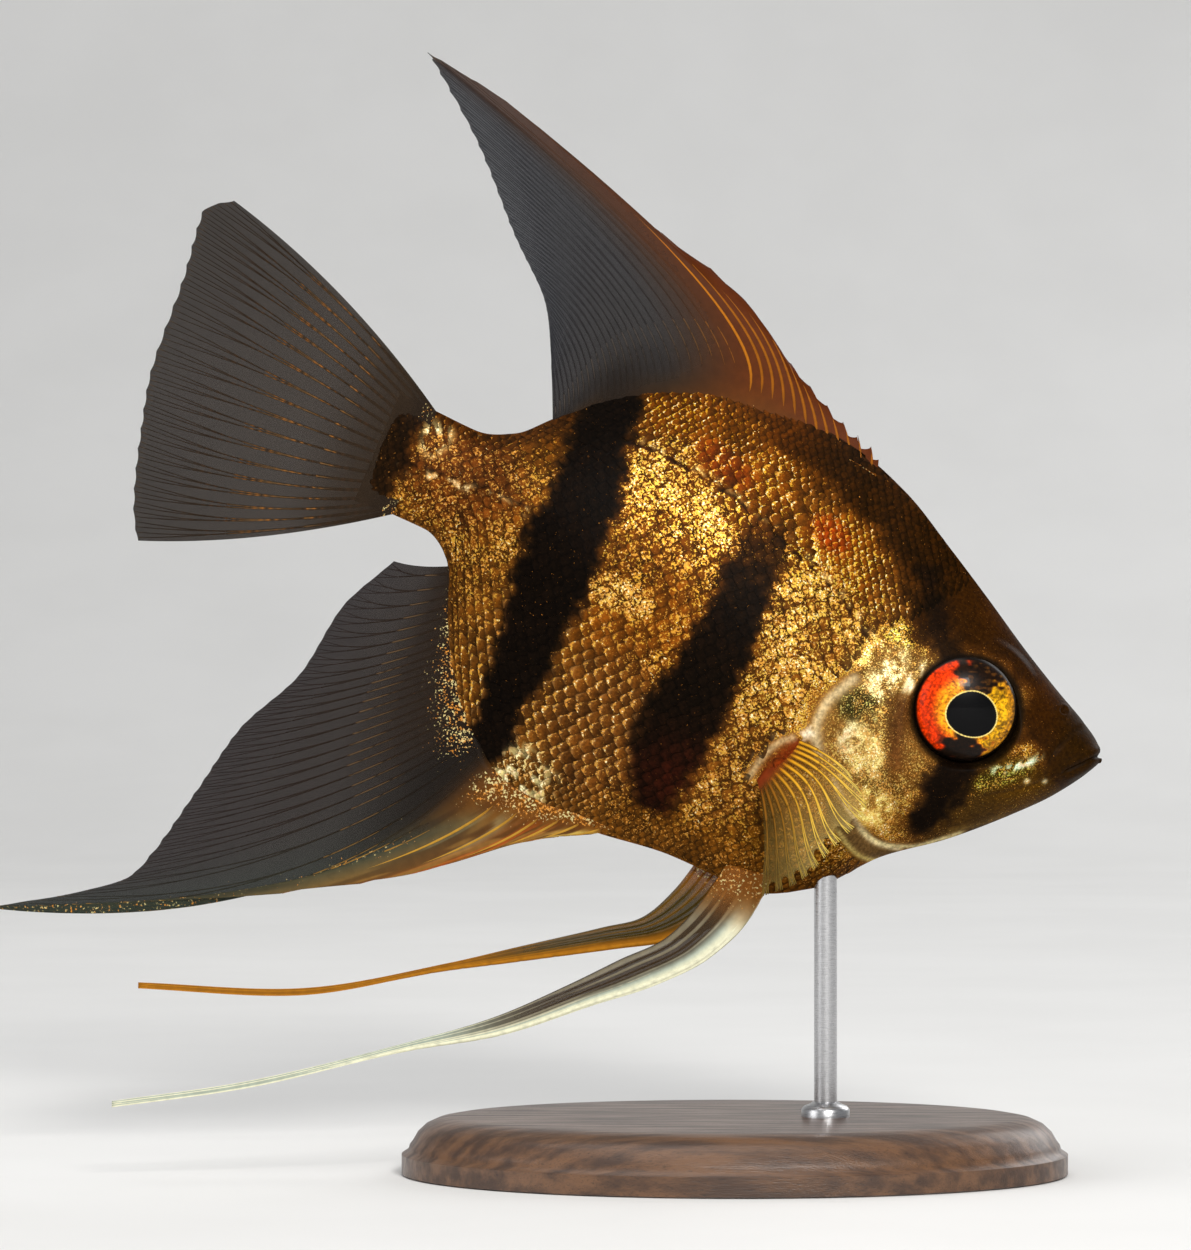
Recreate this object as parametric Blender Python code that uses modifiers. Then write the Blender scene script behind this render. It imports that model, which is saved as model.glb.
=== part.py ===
"""Freshwater angelfish, Pterophyllum scalare, as a life-size still model on a display stand.

Metres, +Z up. The origin is the centre of the stand's underside, and the nose points towards +X.
The fish is drawn level in its own frame, with x from the tail-fin base to the snout and z towards
the back, and an empty then pitches it nose down over the stand.
"""

import math

import bmesh
import bpy
import numpy as np
from mathutils import Matrix

# Driving dimensions
STANDARD_LENGTH = 0.065  # snout to tail-fin base
UNIT = STANDARD_LENGTH / 65.0  # unit of the tables below: 1 mm on a fish of that length
NOSE_DOWN = math.radians(23.0)
FISH_X = -0.028  # tail-fin base, from the stand's centre
FISH_Z = 0.062
GAP = 0.0003  # between neighbouring solids

BODY_RINGS = 44
BODY_HALF_POINTS = 12  # points down one side of a body section
FAR = 40.0  # past the body on every side, in table units

# Body sections: back x, z; belly x, z; half width; where the widest point lies, from the back
# down; and how sharply the section narrows to its keels.
BODY = (
    (0.0, 5.0, 0.0, -5.0, 1.4, 0.50, 0.75),
    (4.0, 4.8, 3.2, -5.1, 2.0, 0.50, 0.85),
    (7.2, 5.9, 6.0, -6.8, 2.7, 0.48, 1.00),
    (9.8, 8.4, 7.9, -11.8, 3.3, 0.44, 1.10),
    (13.2, 11.7, 10.9, -17.6, 4.0, 0.44, 1.15),
    (17.6, 14.6, 15.0, -21.9, 4.8, 0.46, 1.15),
    (23.0, 16.5, 20.6, -24.0, 5.4, 0.48, 1.15),
    (29.0, 17.0, 27.2, -23.6, 5.9, 0.50, 1.10),
    (35.0, 16.3, 34.2, -22.9, 6.2, 0.53, 1.05),
    (40.5, 14.5, 41.0, -23.1, 6.3, 0.56, 0.95),
    (46.0, 11.5, 46.4, -20.8, 6.2, 0.55, 0.85),
    (51.0, 8.6, 51.0, -15.8, 5.7, 0.52, 0.80),
    (55.5, 5.9, 55.6, -12.2, 4.9, 0.50, 0.75),
    (59.5, 3.7, 59.6, -8.4, 3.9, 0.50, 0.70),
    (62.6, 2.1, 62.7, -5.0, 2.9, 0.50, 0.70),
    (64.4, 0.9, 64.5, -2.3, 1.8, 0.50, 0.70),
    (65.1, -0.1, 65.1, -0.9, 0.5, 0.50, 0.70),
)

# Side-view outlines of the body's parts, each reaching past the body where it is cut free.
TAIL_STALK = ((-FAR, FAR), (10.4, FAR), (9.8, 7.6), (6.3, -6.6), (4.6, -FAR), (-FAR, -FAR))
HEAD = (
    (41.8, FAR), (42.0, 8.0), (41.3, 2.0), (40.7, -5.0), (42.4, -9.6), (46.2, -13.1),
    (49.4, -14.8), (50.0, -FAR), (2 * FAR, -FAR), (2 * FAR, FAR),
)
GILL_COVER = (
    (41.9, 2.6), (45.9, 1.8), (47.5, -3.0), (49.3, -6.4), (51.9, -9.8), (52.9, -12.4),
    (50.2, -14.2), (46.6, -12.7), (43.0, -9.4), (41.3, -5.4), (41.5, -2.0),
)
LOWER_JAW = (
    (2 * FAR, 2.0), (64.9, -0.5), (62.6, -3.0), (58.2, -6.4), (56.6, -FAR), (2 * FAR, -FAR),
)
UPPER_JAW = (
    (2 * FAR, FAR), (62.8, FAR), (62.4, 1.2), (61.2, -2.0), (61.0, -3.8), (62.3, -2.8),
    (64.7, -0.1), (2 * FAR, 2.5),
)
GILL_COVER_INNER = 1.8  # the gill covers start this far from the mid-plane

EYE_CENTRE = (52.6, 3.9, -1.2)
EYE_RADIUS = 4.53
EYE_HALF_DEPTH = 2.3

# Fin rays, from the first to the last: place along the fin from 0 to 1, then the ray's root,
# middle and tip. The roots start inside the body, and the body is cut from them.
DORSAL_RAYS = (
    (0.00, (37.6, 14.6), (37.4, 15.6), (37.0, 16.6)),
    (0.08, (35.2, 15.0), (34.6, 16.3), (33.6, 17.7)),
    (0.20, (31.6, 15.2), (29.8, 18.2), (26.6, 21.0)),
    (0.28, (28.8, 15.4), (26.2, 20.4), (19.6, 25.0)),
    (0.35, (26.0, 15.3), (22.8, 21.8), (9.4, 27.6)),
    (0.41, (23.6, 14.9), (19.0, 22.8), (-6.0, 32.4)),
    (0.45, (21.8, 14.4), (16.4, 22.8), (-12.9, 33.4)),
    (0.58, (18.0, 12.8), (12.4, 20.4), (-6.0, 28.0)),
    (0.72, (14.8, 10.6), (10.6, 17.6), (0.4, 21.6)),
    (0.86, (12.2, 8.4), (9.8, 13.6), (5.2, 17.2)),
    (1.00, (10.4, 6.6), (9.2, 9.4), (7.6, 13.0)),
)
ANAL_RAYS = (
    (0.00, (28.4, -22.6), (27.2, -23.6), (25.6, -24.2)),
    (0.10, (25.4, -22.6), (23.4, -25.2), (20.4, -27.6)),
    (0.20, (22.4, -22.9), (19.4, -27.8), (13.4, -33.4)),
    (0.30, (19.0, -22.6), (14.4, -30.0), (4.2, -39.0)),
    (0.38, (16.2, -21.4), (3.2, -39.0), (-19.4, -50.3)),
    (0.46, (14.6, -19.8), (5.0, -31.8), (-8.4, -42.4)),
    (0.58, (12.8, -17.4), (3.2, -27.4), (-6.4, -34.4)),
    (0.70, (11.2, -14.8), (2.8, -22.4), (-5.0, -27.6)),
    (0.82, (9.8, -12.0), (3.4, -17.6), (-1.8, -20.4)),
    (0.92, (8.4, -9.2), (3.8, -12.8), (-0.9, -14.4)),
    (1.00, (7.4, -6.6), (4.4, -8.0), (1.8, -8.6)),
)
CAUDAL_RAYS = (
    (0.00, (0.2, 4.8), (-11.4, 10.9), (-23.4, 14.9)),
    (0.08, (0.2, 4.1), (-11.6, 9.4), (-25.5, 13.0)),
    (0.30, (0.2, 2.0), (-11.6, 4.9), (-24.8, 6.6)),
    (0.50, (0.2, 0.0), (-11.6, -0.2), (-24.3, -0.8)),
    (0.70, (0.2, -2.0), (-11.0, -5.4), (-22.9, -6.8)),
    (0.92, (0.2, -4.1), (-10.2, -9.9), (-20.8, -13.4)),
    (1.00, (0.2, -4.8), (-9.6, -11.1), (-19.5, -15.7)),
)
# Paired fins spread from the body: each point is x, z and the distance from the mid-plane.
PECTORAL_RAYS = (
    (0.00, (39.4, -9.2, 5.0), (42.6, -9.2, 8.4), (45.0, -10.0, 9.8)),
    (0.25, (39.2, -10.4, 5.0), (43.8, -11.0, 9.2), (47.6, -12.6, 11.2)),
    (0.50, (38.9, -11.6, 5.0), (43.1, -13.6, 9.2), (46.2, -16.6, 11.4)),
    (0.75, (38.6, -12.8, 5.0), (42.1, -16.2, 8.8), (44.8, -20.2, 10.6)),
    (1.00, (38.4, -13.7, 4.8), (40.7, -18.2, 7.8), (42.2, -22.9, 9.2)),
)
# Pelvic fins: place along the fin, then the leading edge and the trailing edge. They run out
# into long threads.
RIGHT_PELVIC = (
    (0.00, (42.8, -21.0, 0.9), (38.8, -21.6, 0.9)),
    (0.06, (42.4, -25.0, 1.5), (38.0, -25.4, 1.7)),
    (0.14, (40.6, -29.4, 2.5), (36.4, -29.3, 2.9)),
    (0.22, (37.2, -33.4, 3.6), (33.4, -32.6, 4.0)),
    (0.32, (32.8, -37.1, 4.8), (30.2, -36.2, 5.1)),
    (0.44, (26.6, -42.4, 6.0), (25.4, -41.2, 6.1)),
    (0.58, (19.6, -46.8, 6.9), (19.2, -46.2, 6.9)),
    (0.80, (8.2, -55.0, 7.8), (7.9, -54.5, 7.8)),
    (1.00, (-1.8, -61.0, 8.2), (-2.0, -60.5, 8.2)),
)
LEFT_PELVIC = (
    (0.00, (42.6, -21.0, 0.9), (36.6, -21.4, 0.9)),
    (0.08, (41.0, -25.6, 1.8), (35.6, -25.4, 1.7)),
    (0.18, (37.6, -29.4, 3.2), (34.0, -28.8, 3.0)),
    (0.30, (32.6, -32.6, 4.6), (31.0, -31.2, 4.4)),
    (0.44, (25.4, -36.9, 6.0), (24.8, -35.8, 5.9)),
    (0.56, (20.0, -40.1, 6.8), (19.8, -39.5, 6.8)),
    (0.78, (8.9, -47.3, 7.9), (8.7, -46.7, 7.9)),
    (1.00, (-4.6, -52.4, 8.4), (-4.8, -51.9, 8.4)),
)
FIN_EDGE = 0.5  # thickness at the fins' edges and threads

BASE_LENGTH = 0.058
BASE_WIDTH = 0.040
BASE_HEIGHT = 0.005
BASE_BEVEL = 0.0012
ROD_RADIUS = 0.001
ROD_FOOT = 0.003  # how far the rod goes into the base
ROD_FISH = (45.4, -15.0)  # the rod's upper end, inside the breast

# Colour, roughness and metallic value of each material
MATERIALS = {
    "olive_head": ((0.16, 0.11, 0.04), 0.4, 0.2),
    "gold_scales": ((0.42, 0.27, 0.10), 0.35, 0.5),
    "pale_gill": ((0.62, 0.50, 0.30), 0.3, 0.5),
    "lip": ((0.14, 0.10, 0.05), 0.45, 0.0),
    "iris": ((0.75, 0.20, 0.03), 0.15, 0.3),
    "smoky_fin": ((0.10, 0.10, 0.11), 0.45, 0.0),
    "amber_fin": ((0.35, 0.22, 0.08), 0.45, 0.0),
    "cream_fin": ((0.72, 0.72, 0.60), 0.4, 0.0),
    "rust_fin": ((0.55, 0.27, 0.06), 0.4, 0.0),
    "walnut": ((0.07, 0.035, 0.018), 0.35, 0.0),
    "steel": ((0.55, 0.55, 0.56), 0.3, 1.0),
}


# Scene and materials

def clear_scene():
    for thing in list(bpy.data.objects):
        bpy.data.objects.remove(thing)


def new_collection(name):
    collection = bpy.data.collections.new(name)
    bpy.context.scene.collection.children.link(collection)
    return collection


def make_material(name):
    colour, roughness, metallic = MATERIALS[name]
    material = bpy.data.materials.new(name)
    material.use_nodes = True
    shader = material.node_tree.nodes["Principled BSDF"]
    shader.inputs["Base Color"].default_value = (*colour, 1.0)
    shader.inputs["Roughness"].default_value = roughness
    shader.inputs["Metallic"].default_value = metallic
    return material


clear_scene()
FISH = new_collection("angelfish")
CUTTERS = new_collection("cutters")
LOOKS = {name: make_material(name) for name in MATERIALS}
POSE = bpy.data.objects.new("fish_pose", None)
POSE.location = (FISH_X, 0.0, FISH_Z)
POSE.rotation_euler = (0.0, NOSE_DOWN, 0.0)
FISH.objects.link(POSE)


def add_part(name, mesh, look, parent=POSE):
    part = bpy.data.objects.new(name, mesh)
    part.data.materials.append(LOOKS[look])
    part.parent = parent
    FISH.objects.link(part)
    return part


def add_cutter(name, mesh, parent=POSE):
    cutter = bpy.data.objects.new(name, mesh)
    cutter.parent = parent
    cutter.hide_render = True
    cutter.display_type = "WIRE"
    CUTTERS.objects.link(cutter)
    return cutter


def cut(part, cutter, operation="DIFFERENCE"):
    boolean = part.modifiers.new(cutter.name, "BOOLEAN")
    boolean.operation = operation
    boolean.solver = "EXACT"
    boolean.object = cutter


def shade(mesh, angle=40.0):
    mesh.shade_smooth()
    mesh.set_sharp_from_angle(angle=math.radians(angle))


# Curves and lofts

def curve_through(places, values, at):
    """A smooth curve through the values that never swings past them."""
    places, values, at = (np.asarray(numbers, float) for numbers in (places, values, at))
    step = np.diff(places)[:, None]
    slope = np.diff(values, axis=0) / step
    product = slope[:-1] * slope[1:]
    total = np.where(product > 0.0, slope[:-1] + slope[1:], 1.0)
    inner = np.where(product > 0.0, 2.0 * product / total, 0.0)
    tangent = np.vstack([slope[:1], inner, slope[-1:]])
    i = np.clip(np.searchsorted(places, at, side="right") - 1, 0, len(step) - 1)
    t = ((at - places[i]) / step[i, 0])[:, None]
    rise = t * t * (3.0 - 2.0 * t)
    bend = t * (1.0 - t) * step[i]
    lean = (1.0 - t) * tangent[i] - t * tangent[i + 1]
    return values[i] * (1.0 - rise) + values[i + 1] * rise + bend * lean


def body_section(row, grow):
    """One closed ring: down the right side from the back, and up the left side."""
    back_x, back_z, belly_x, belly_z, half_width, widest, keel = row
    turn = np.linspace(0.0, 1.0, BODY_HALF_POINTS + 1)
    down = 0.5 - 0.5 * np.cos(np.pi * turn)
    bulge = np.sin(np.pi * down ** (math.log(0.5) / math.log(widest))) ** keel
    bulge[[0, -1]] = 0.0
    x = back_x + (belly_x - back_x) * down
    z = back_z + grow + (belly_z - back_z - 2.0 * grow) * down
    y = (half_width + grow) * bulge
    right = np.column_stack([x, -y, z])
    left = np.column_stack([x, y, z])[-2:0:-1]
    return np.vstack([right, left]) * UNIT


def body_mesh(name, grow=0.0):
    """The whole body as one loft. A body grown by the gap cuts the fins free of it."""
    along = np.linspace(0.0, len(BODY) - 1.0, BODY_RINGS)
    rows = curve_through(range(len(BODY)), BODY, along)
    rows[0, [0, 2]] -= grow
    rows[-1, [0, 2]] += grow
    form = bmesh.new()
    rings = [[form.verts.new(point) for point in body_section(row, grow)] for row in rows]
    around = len(rings[0])
    for ahead, behind in zip(rings[1:], rings[:-1]):
        for i in range(around):
            j = (i + 1) % around
            form.faces.new((ahead[i], ahead[j], behind[j], behind[i]))
    form.faces.new(rings[-1][::-1])
    form.faces.new(rings[0])
    bmesh.ops.recalc_face_normals(form, faces=form.faces)
    return finish_mesh(name, form)


def finish_mesh(name, form):
    mesh = bpy.data.meshes.new(name)
    form.to_mesh(mesh)
    form.free()
    shade(mesh)
    return mesh


def offset_outline(outline, grow):
    """Moves each corner of an outline outwards by grow, whichever way round it runs."""
    corners = np.array(outline, float)
    before = corners - np.roll(corners, 1, axis=0)
    after = np.roll(corners, -1, axis=0) - corners
    area = np.sum(corners[:, 0] * after[:, 1] - corners[:, 1] * after[:, 0])
    normals = []
    for edge in (before, after):
        unit = edge / np.linalg.norm(edge, axis=1)[:, None]
        normals.append(np.column_stack([unit[:, 1], -unit[:, 0]]) * np.sign(area))
    mitre = normals[0] + normals[1]
    reach = 2.0 / np.sum(mitre * mitre, axis=1)
    return corners + mitre * reach[:, None] * grow


def prism_mesh(name, outline, near=-FAR, far=FAR, grow=0.0):
    """An outline in the side view, filled and drawn out sideways from near to far."""
    form = bmesh.new()
    corners = offset_outline(outline, grow)
    face = form.faces.new([form.verts.new((x * UNIT, near * UNIT, z * UNIT)) for x, z in corners])
    drawn = bmesh.ops.extrude_face_region(form, geom=[face])["geom"]
    moved = [item for item in drawn if isinstance(item, bmesh.types.BMVert)]
    bmesh.ops.translate(form, verts=moved, vec=(0.0, (far - near) * UNIT, 0.0))
    bmesh.ops.recalc_face_normals(form, faces=form.faces)
    return finish_mesh(name, form)


# The body and its parts

GAP_UNITS = GAP / UNIT
SIDES = {"right": -1.0, "left": 1.0}
GROWN_BODY = add_cutter("grown_body", body_mesh("grown_body", GAP_UNITS))


def body_part(name, look, holder):
    """A piece of the whole body, taken from it by the prism that holds it."""
    part = add_part(name, body_mesh(name), look)
    cut(part, holder, "INTERSECT")
    return part


def prism(name, outline, near=-FAR, far=FAR, grow=0.0):
    return add_cutter(name, prism_mesh(name, outline, near, far, grow))


def gill_cover_prism(name, side, grow=0.0):
    sign = SIDES[side]
    inner = sign * (GILL_COVER_INNER - grow)
    near, far = sorted((inner, sign * FAR))
    return prism(name, GILL_COVER, near, far, grow)


def eye_mesh(name, grow=0.0):
    form = bmesh.new()
    bmesh.ops.create_uvsphere(form, u_segments=20, v_segments=10, radius=1.0)
    radius = (EYE_RADIUS + grow) * UNIT
    depth = (EYE_HALF_DEPTH + grow) * UNIT
    bmesh.ops.scale(form, verts=form.verts, vec=(radius, radius, depth))
    return finish_mesh(name, form)


def place_eye(eye, side):
    x, y, z = EYE_CENTRE
    eye.location = (x * UNIT, SIDES[side] * y * UNIT, z * UNIT)
    eye.rotation_euler = (math.radians(90.0), 0.0, 0.0)
    return eye


def make_head():
    head = body_part("head", "olive_head", prism("head_prism", HEAD))
    cut(head, prism("lower_jaw_cut", LOWER_JAW, grow=GAP_UNITS))
    cut(head, prism("upper_jaw_cut", UPPER_JAW, grow=GAP_UNITS))
    for side in SIDES:
        cut(head, gill_cover_prism(f"gill_cover_{side}_cut", side, GAP_UNITS))
        socket = add_cutter(f"eye_socket_{side}", eye_mesh(f"eye_socket_{side}", GAP_UNITS))
        cut(head, place_eye(socket, side))


def make_jaws():
    body_part("lower_jaw", "lip", prism("lower_jaw_prism", LOWER_JAW))
    body_part("upper_jaw", "lip", prism("upper_jaw_prism", UPPER_JAW))


def make_gill_covers():
    for side in SIDES:
        holder = gill_cover_prism(f"gill_cover_{side}_prism", side)
        body_part(f"gill_cover_{side}", "pale_gill", holder)


def make_eyes():
    for side in SIDES:
        place_eye(add_part(f"eye_{side}", eye_mesh(f"eye_{side}"), "iris"), side)


def make_trunk():
    trunk = add_part("trunk", body_mesh("trunk"), "gold_scales")
    cut(trunk, prism("head_cut", HEAD, grow=GAP_UNITS))
    cut(trunk, prism("tail_stalk_cut", TAIL_STALK, grow=GAP_UNITS))
    return trunk


def make_tail_stalk():
    body_part("tail_stalk", "gold_scales", prism("tail_stalk_prism", TAIL_STALK))


# Fins

def grid_mesh(name, points):
    """An open sheet over a grid of points."""
    rows, columns = points.shape[:2]
    faces = [
        (r * columns + c, r * columns + c + 1, (r + 1) * columns + c + 1, (r + 1) * columns + c)
        for r in range(rows - 1)
        for c in range(columns - 1)
    ]
    mesh = bpy.data.meshes.new(name)
    mesh.from_pydata((points.reshape(-1, 3) * UNIT).tolist(), [], faces)
    shade(mesh)
    return mesh


def add_fin(name, look, points, weights, root_thickness):
    """A sheet over the grid, thick at the root and thin at the edge, cut free of the body."""
    fin = add_part(name, grid_mesh(name, points), look)
    group = fin.vertex_groups.new(name="thickness")
    for index, weight in enumerate(weights.reshape(-1)):
        group.add([index], float(weight), "REPLACE")
    solidify = fin.modifiers.new("thickness", "SOLIDIFY")
    solidify.thickness = root_thickness * UNIT
    solidify.offset = 0.0
    solidify.vertex_group = group.name
    cut(fin, GROWN_BODY)
    return fin


def ray_points(rays, places, steps):
    """Points along the rays: each ray is a parabola through its root, middle and tip."""
    knots = [ray[0] for ray in rays]
    root, middle, tip = (
        curve_through(knots, [ray[part] for ray in rays], places) for part in (1, 2, 3)
    )
    v = np.linspace(0.0, 1.0, steps)[None, :, None]
    start, centre, end = (2 * v - 1) * (v - 1), 4 * v * (1 - v), v * (2 * v - 1)
    return start * root[:, None] + centre * middle[:, None] + end * tip[:, None]


def taper(steps, root_thickness, power):
    """Thickness along a ray, as a share of the thickness at the root."""
    v = np.linspace(0.0, 1.0, steps)
    edge = FIN_EDGE / root_thickness
    return edge + (1.0 - edge) * (1.0 - v) ** power


def median_fin(name, look, rays, columns, steps, root_thickness, sway):
    """A fin in the mid-plane. Its free edge sways gently to one side and back."""
    places = np.linspace(0.0, 1.0, columns)
    flat = ray_points(rays, places, steps)
    v = np.linspace(0.0, 1.0, steps)[None, :]
    side = sway * np.sin(2.0 * np.pi * places)[:, None] * v**2
    points = np.stack([flat[..., 0], side, flat[..., 1]], axis=-1)
    weights = np.tile(taper(steps, root_thickness, 3.0), (columns, 1))
    add_fin(name, look, points, weights, root_thickness)


def paired_points(flat, sign):
    return np.stack([flat[..., 0], sign * flat[..., 2], flat[..., 1]], axis=-1)


def make_pectoral_fins(columns=10, steps=7, root_thickness=0.9):
    flat = ray_points(PECTORAL_RAYS, np.linspace(0.0, 1.0, columns), steps)
    weights = np.tile(taper(steps, root_thickness, 2.0), (columns, 1))
    for side, sign in SIDES.items():
        points = paired_points(flat, sign)
        add_fin(f"pectoral_fin_{side}", "amber_fin", points, weights, root_thickness)


def make_pelvic_fin(side, look, rows, steps=27, across=4, root_thickness=1.0):
    places = np.linspace(0.0, 1.0, steps)
    knots = [row[0] for row in rows]
    edges = [curve_through(knots, [row[part] for row in rows], places) for part in (1, 2)]
    share = np.linspace(0.0, 1.0, across)[None, :, None]
    flat = edges[0][:, None] * (1.0 - share) + edges[1][:, None] * share
    weights = np.tile(taper(steps, root_thickness, 3.0)[:, None], (1, across))
    points = paired_points(flat, SIDES[side])
    add_fin(f"pelvic_fin_{side}", look, points, weights, root_thickness)


def make_median_fins():
    median_fin("dorsal_fin", "smoky_fin", DORSAL_RAYS, 27, 8, 0.9, 0.9)
    median_fin("anal_fin", "smoky_fin", ANAL_RAYS, 27, 8, 0.9, -0.9)
    median_fin("caudal_fin", "smoky_fin", CAUDAL_RAYS, 15, 7, 2.2, 0.7)


# The stand

def in_world(x, z):
    """A point of the fish's mid-plane after the pitch, in metres."""
    cos, sin = math.cos(NOSE_DOWN), math.sin(NOSE_DOWN)
    return FISH_X + (x * cos + z * sin) * UNIT, FISH_Z + (z * cos - x * sin) * UNIT


def cylinder_mesh(name, radius, bottom, top, segments=20):
    form = bmesh.new()
    bmesh.ops.create_cone(
        form, cap_ends=True, segments=segments, radius1=radius, radius2=radius, depth=top - bottom
    )
    bmesh.ops.translate(form, verts=form.verts, vec=(0.0, 0.0, (top + bottom) / 2.0))
    return finish_mesh(name, form)


def make_base():
    """An oval foot with a rounded rim."""
    mesh = cylinder_mesh("stand_base", 1.0, 0.0, BASE_HEIGHT, 40)
    mesh.transform(Matrix.Diagonal((BASE_LENGTH / 2.0, BASE_WIDTH / 2.0, 1.0, 1.0)))
    base = add_part("stand_base", mesh, "walnut", None)
    rim = base.modifiers.new("rim", "BEVEL")
    rim.width = BASE_BEVEL
    rim.segments = 2
    return base


def make_stand(trunk):
    """The foot, and one upright rod in blind sockets in the foot and the breast."""
    rod_x, rod_top = in_world(*ROD_FISH)
    rod_bottom = BASE_HEIGHT - ROD_FOOT
    base = make_base()
    upright = cylinder_mesh("stand_rod", ROD_RADIUS, rod_bottom, rod_top)
    rod = add_part("stand_rod", upright, "steel", None)
    socket = cylinder_mesh("rod_sockets", ROD_RADIUS + GAP, rod_bottom - GAP, rod_top + GAP)
    sockets = add_cutter("rod_sockets", socket, None)
    for piece in (rod, sockets):
        piece.location.x = rod_x
    cut(base, sockets)
    cut(trunk, sockets)


make_head()
make_jaws()
make_gill_covers()
make_eyes()
TRUNK = make_trunk()
make_tail_stalk()
make_median_fins()
make_pectoral_fins()
make_pelvic_fin("right", "cream_fin", RIGHT_PELVIC)
make_pelvic_fin("left", "rust_fin", LEFT_PELVIC)
make_stand(TRUNK)
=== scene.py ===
"""Freshwater angelfish on its display stand: skin, scales, eyes, fins and studio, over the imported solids.

The fish is drawn in its own frame, in units of 1 mm at its 65 mm standard length: x from the tail-fin
base to the snout, y to its left and z towards the back. posed() pitches it nose down into the row frame.
"""

import math

import bpy
import numpy as np
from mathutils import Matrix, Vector


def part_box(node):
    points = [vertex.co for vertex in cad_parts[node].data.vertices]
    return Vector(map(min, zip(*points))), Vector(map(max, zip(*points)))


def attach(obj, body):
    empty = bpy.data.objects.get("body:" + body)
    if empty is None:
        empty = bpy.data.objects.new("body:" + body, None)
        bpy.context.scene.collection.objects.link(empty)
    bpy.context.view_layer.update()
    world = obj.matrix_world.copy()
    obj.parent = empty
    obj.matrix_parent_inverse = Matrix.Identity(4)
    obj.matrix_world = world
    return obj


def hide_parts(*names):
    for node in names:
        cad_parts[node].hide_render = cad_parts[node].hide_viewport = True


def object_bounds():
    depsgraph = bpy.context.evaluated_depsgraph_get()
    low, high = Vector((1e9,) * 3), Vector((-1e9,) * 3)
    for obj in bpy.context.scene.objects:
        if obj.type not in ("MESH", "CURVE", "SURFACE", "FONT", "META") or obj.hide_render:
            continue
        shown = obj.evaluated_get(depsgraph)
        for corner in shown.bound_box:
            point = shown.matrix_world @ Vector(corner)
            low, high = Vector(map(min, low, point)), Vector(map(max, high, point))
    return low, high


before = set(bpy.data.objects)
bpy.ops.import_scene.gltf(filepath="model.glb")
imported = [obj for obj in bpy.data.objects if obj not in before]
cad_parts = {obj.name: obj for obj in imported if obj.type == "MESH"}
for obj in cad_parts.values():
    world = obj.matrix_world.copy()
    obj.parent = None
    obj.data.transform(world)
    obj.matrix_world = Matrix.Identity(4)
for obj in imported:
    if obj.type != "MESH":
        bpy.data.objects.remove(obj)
CAD_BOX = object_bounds()

SIDES = {"right": -1.0, "left": 1.0}

# -------- the fish's frame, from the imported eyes

NOSE_DOWN = math.radians(23.0)
EYE_CENTRE = (52.6, 3.9, -1.2)
EYE_RADIUS = 4.53


def rotated(angle, u, v):
    """Two coordinates along axes that are turned by an angle in radians."""
    cos, sin = math.cos(angle), math.sin(angle)
    return u * cos + v * sin, v * cos - u * sin


def eye_place():
    """The unit in metres, and where the fish's frame has its origin in the row frame."""
    low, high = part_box("eye_left")
    centre = (low + high) / 2.0
    unit = centre.y / EYE_CENTRE[1]
    x, z = rotated(NOSE_DOWN, EYE_CENTRE[0], EYE_CENTRE[2])
    return unit, centre.x - unit * x, centre.z - unit * z


UNIT, FISH_X, FISH_Z = eye_place()


def posed(points):
    """Points of the fish's frame, as places in the row frame, in metres."""
    x, y, z = np.moveaxis(np.asarray(points, float), -1, 0)
    x, z = rotated(NOSE_DOWN, x, z)
    return np.stack((FISH_X + UNIT * x, UNIT * y, FISH_Z + UNIT * z), axis=-1)


# -------- forms, as in the part's source

# Body sections: back x, z; belly x, z; half width; where the widest point lies, from the back
# down; and how sharply the section narrows to its keels.
BODY = (
    (0.0, 5.0, 0.0, -5.0, 1.4, 0.50, 0.75),
    (4.0, 4.8, 3.2, -5.1, 2.0, 0.50, 0.85),
    (7.2, 5.9, 6.0, -6.8, 2.7, 0.48, 1.00),
    (9.8, 8.4, 7.9, -11.8, 3.3, 0.44, 1.10),
    (13.2, 11.7, 10.9, -17.6, 4.0, 0.44, 1.15),
    (17.6, 14.6, 15.0, -21.9, 4.8, 0.46, 1.15),
    (23.0, 16.5, 20.6, -24.0, 5.4, 0.48, 1.15),
    (29.0, 17.0, 27.2, -23.6, 5.9, 0.50, 1.10),
    (35.0, 16.3, 34.2, -22.9, 6.2, 0.53, 1.05),
    (40.5, 14.5, 41.0, -23.1, 6.3, 0.56, 0.95),
    (46.0, 11.5, 46.4, -20.8, 6.2, 0.55, 0.85),
    (51.0, 8.6, 51.0, -15.8, 5.7, 0.52, 0.80),
    (55.5, 5.9, 55.6, -12.2, 4.9, 0.50, 0.75),
    (59.5, 3.7, 59.6, -8.4, 3.9, 0.50, 0.70),
    (62.6, 2.1, 62.7, -5.0, 2.9, 0.50, 0.70),
    (64.4, 0.9, 64.5, -2.3, 1.8, 0.50, 0.70),
    (65.1, -0.1, 65.1, -0.9, 0.5, 0.50, 0.70),
)
# The scaly sheath over the roots of the tail fin, behind the body's first section.
TAIL_SHEATH = (
    (-3.4, 5.2, -3.4, -5.2, 0.25, 0.50, 0.60),
    (-2.6, 5.2, -2.6, -5.2, 0.55, 0.50, 0.60),
    (-1.2, 5.1, -1.2, -5.1, 0.95, 0.50, 0.65),
)
# The rounded tip of the closed jaws.
SNOUT_TIP = ((65.3, -0.25, 65.3, -0.75, 0.2, 0.50, 0.70),)

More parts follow.
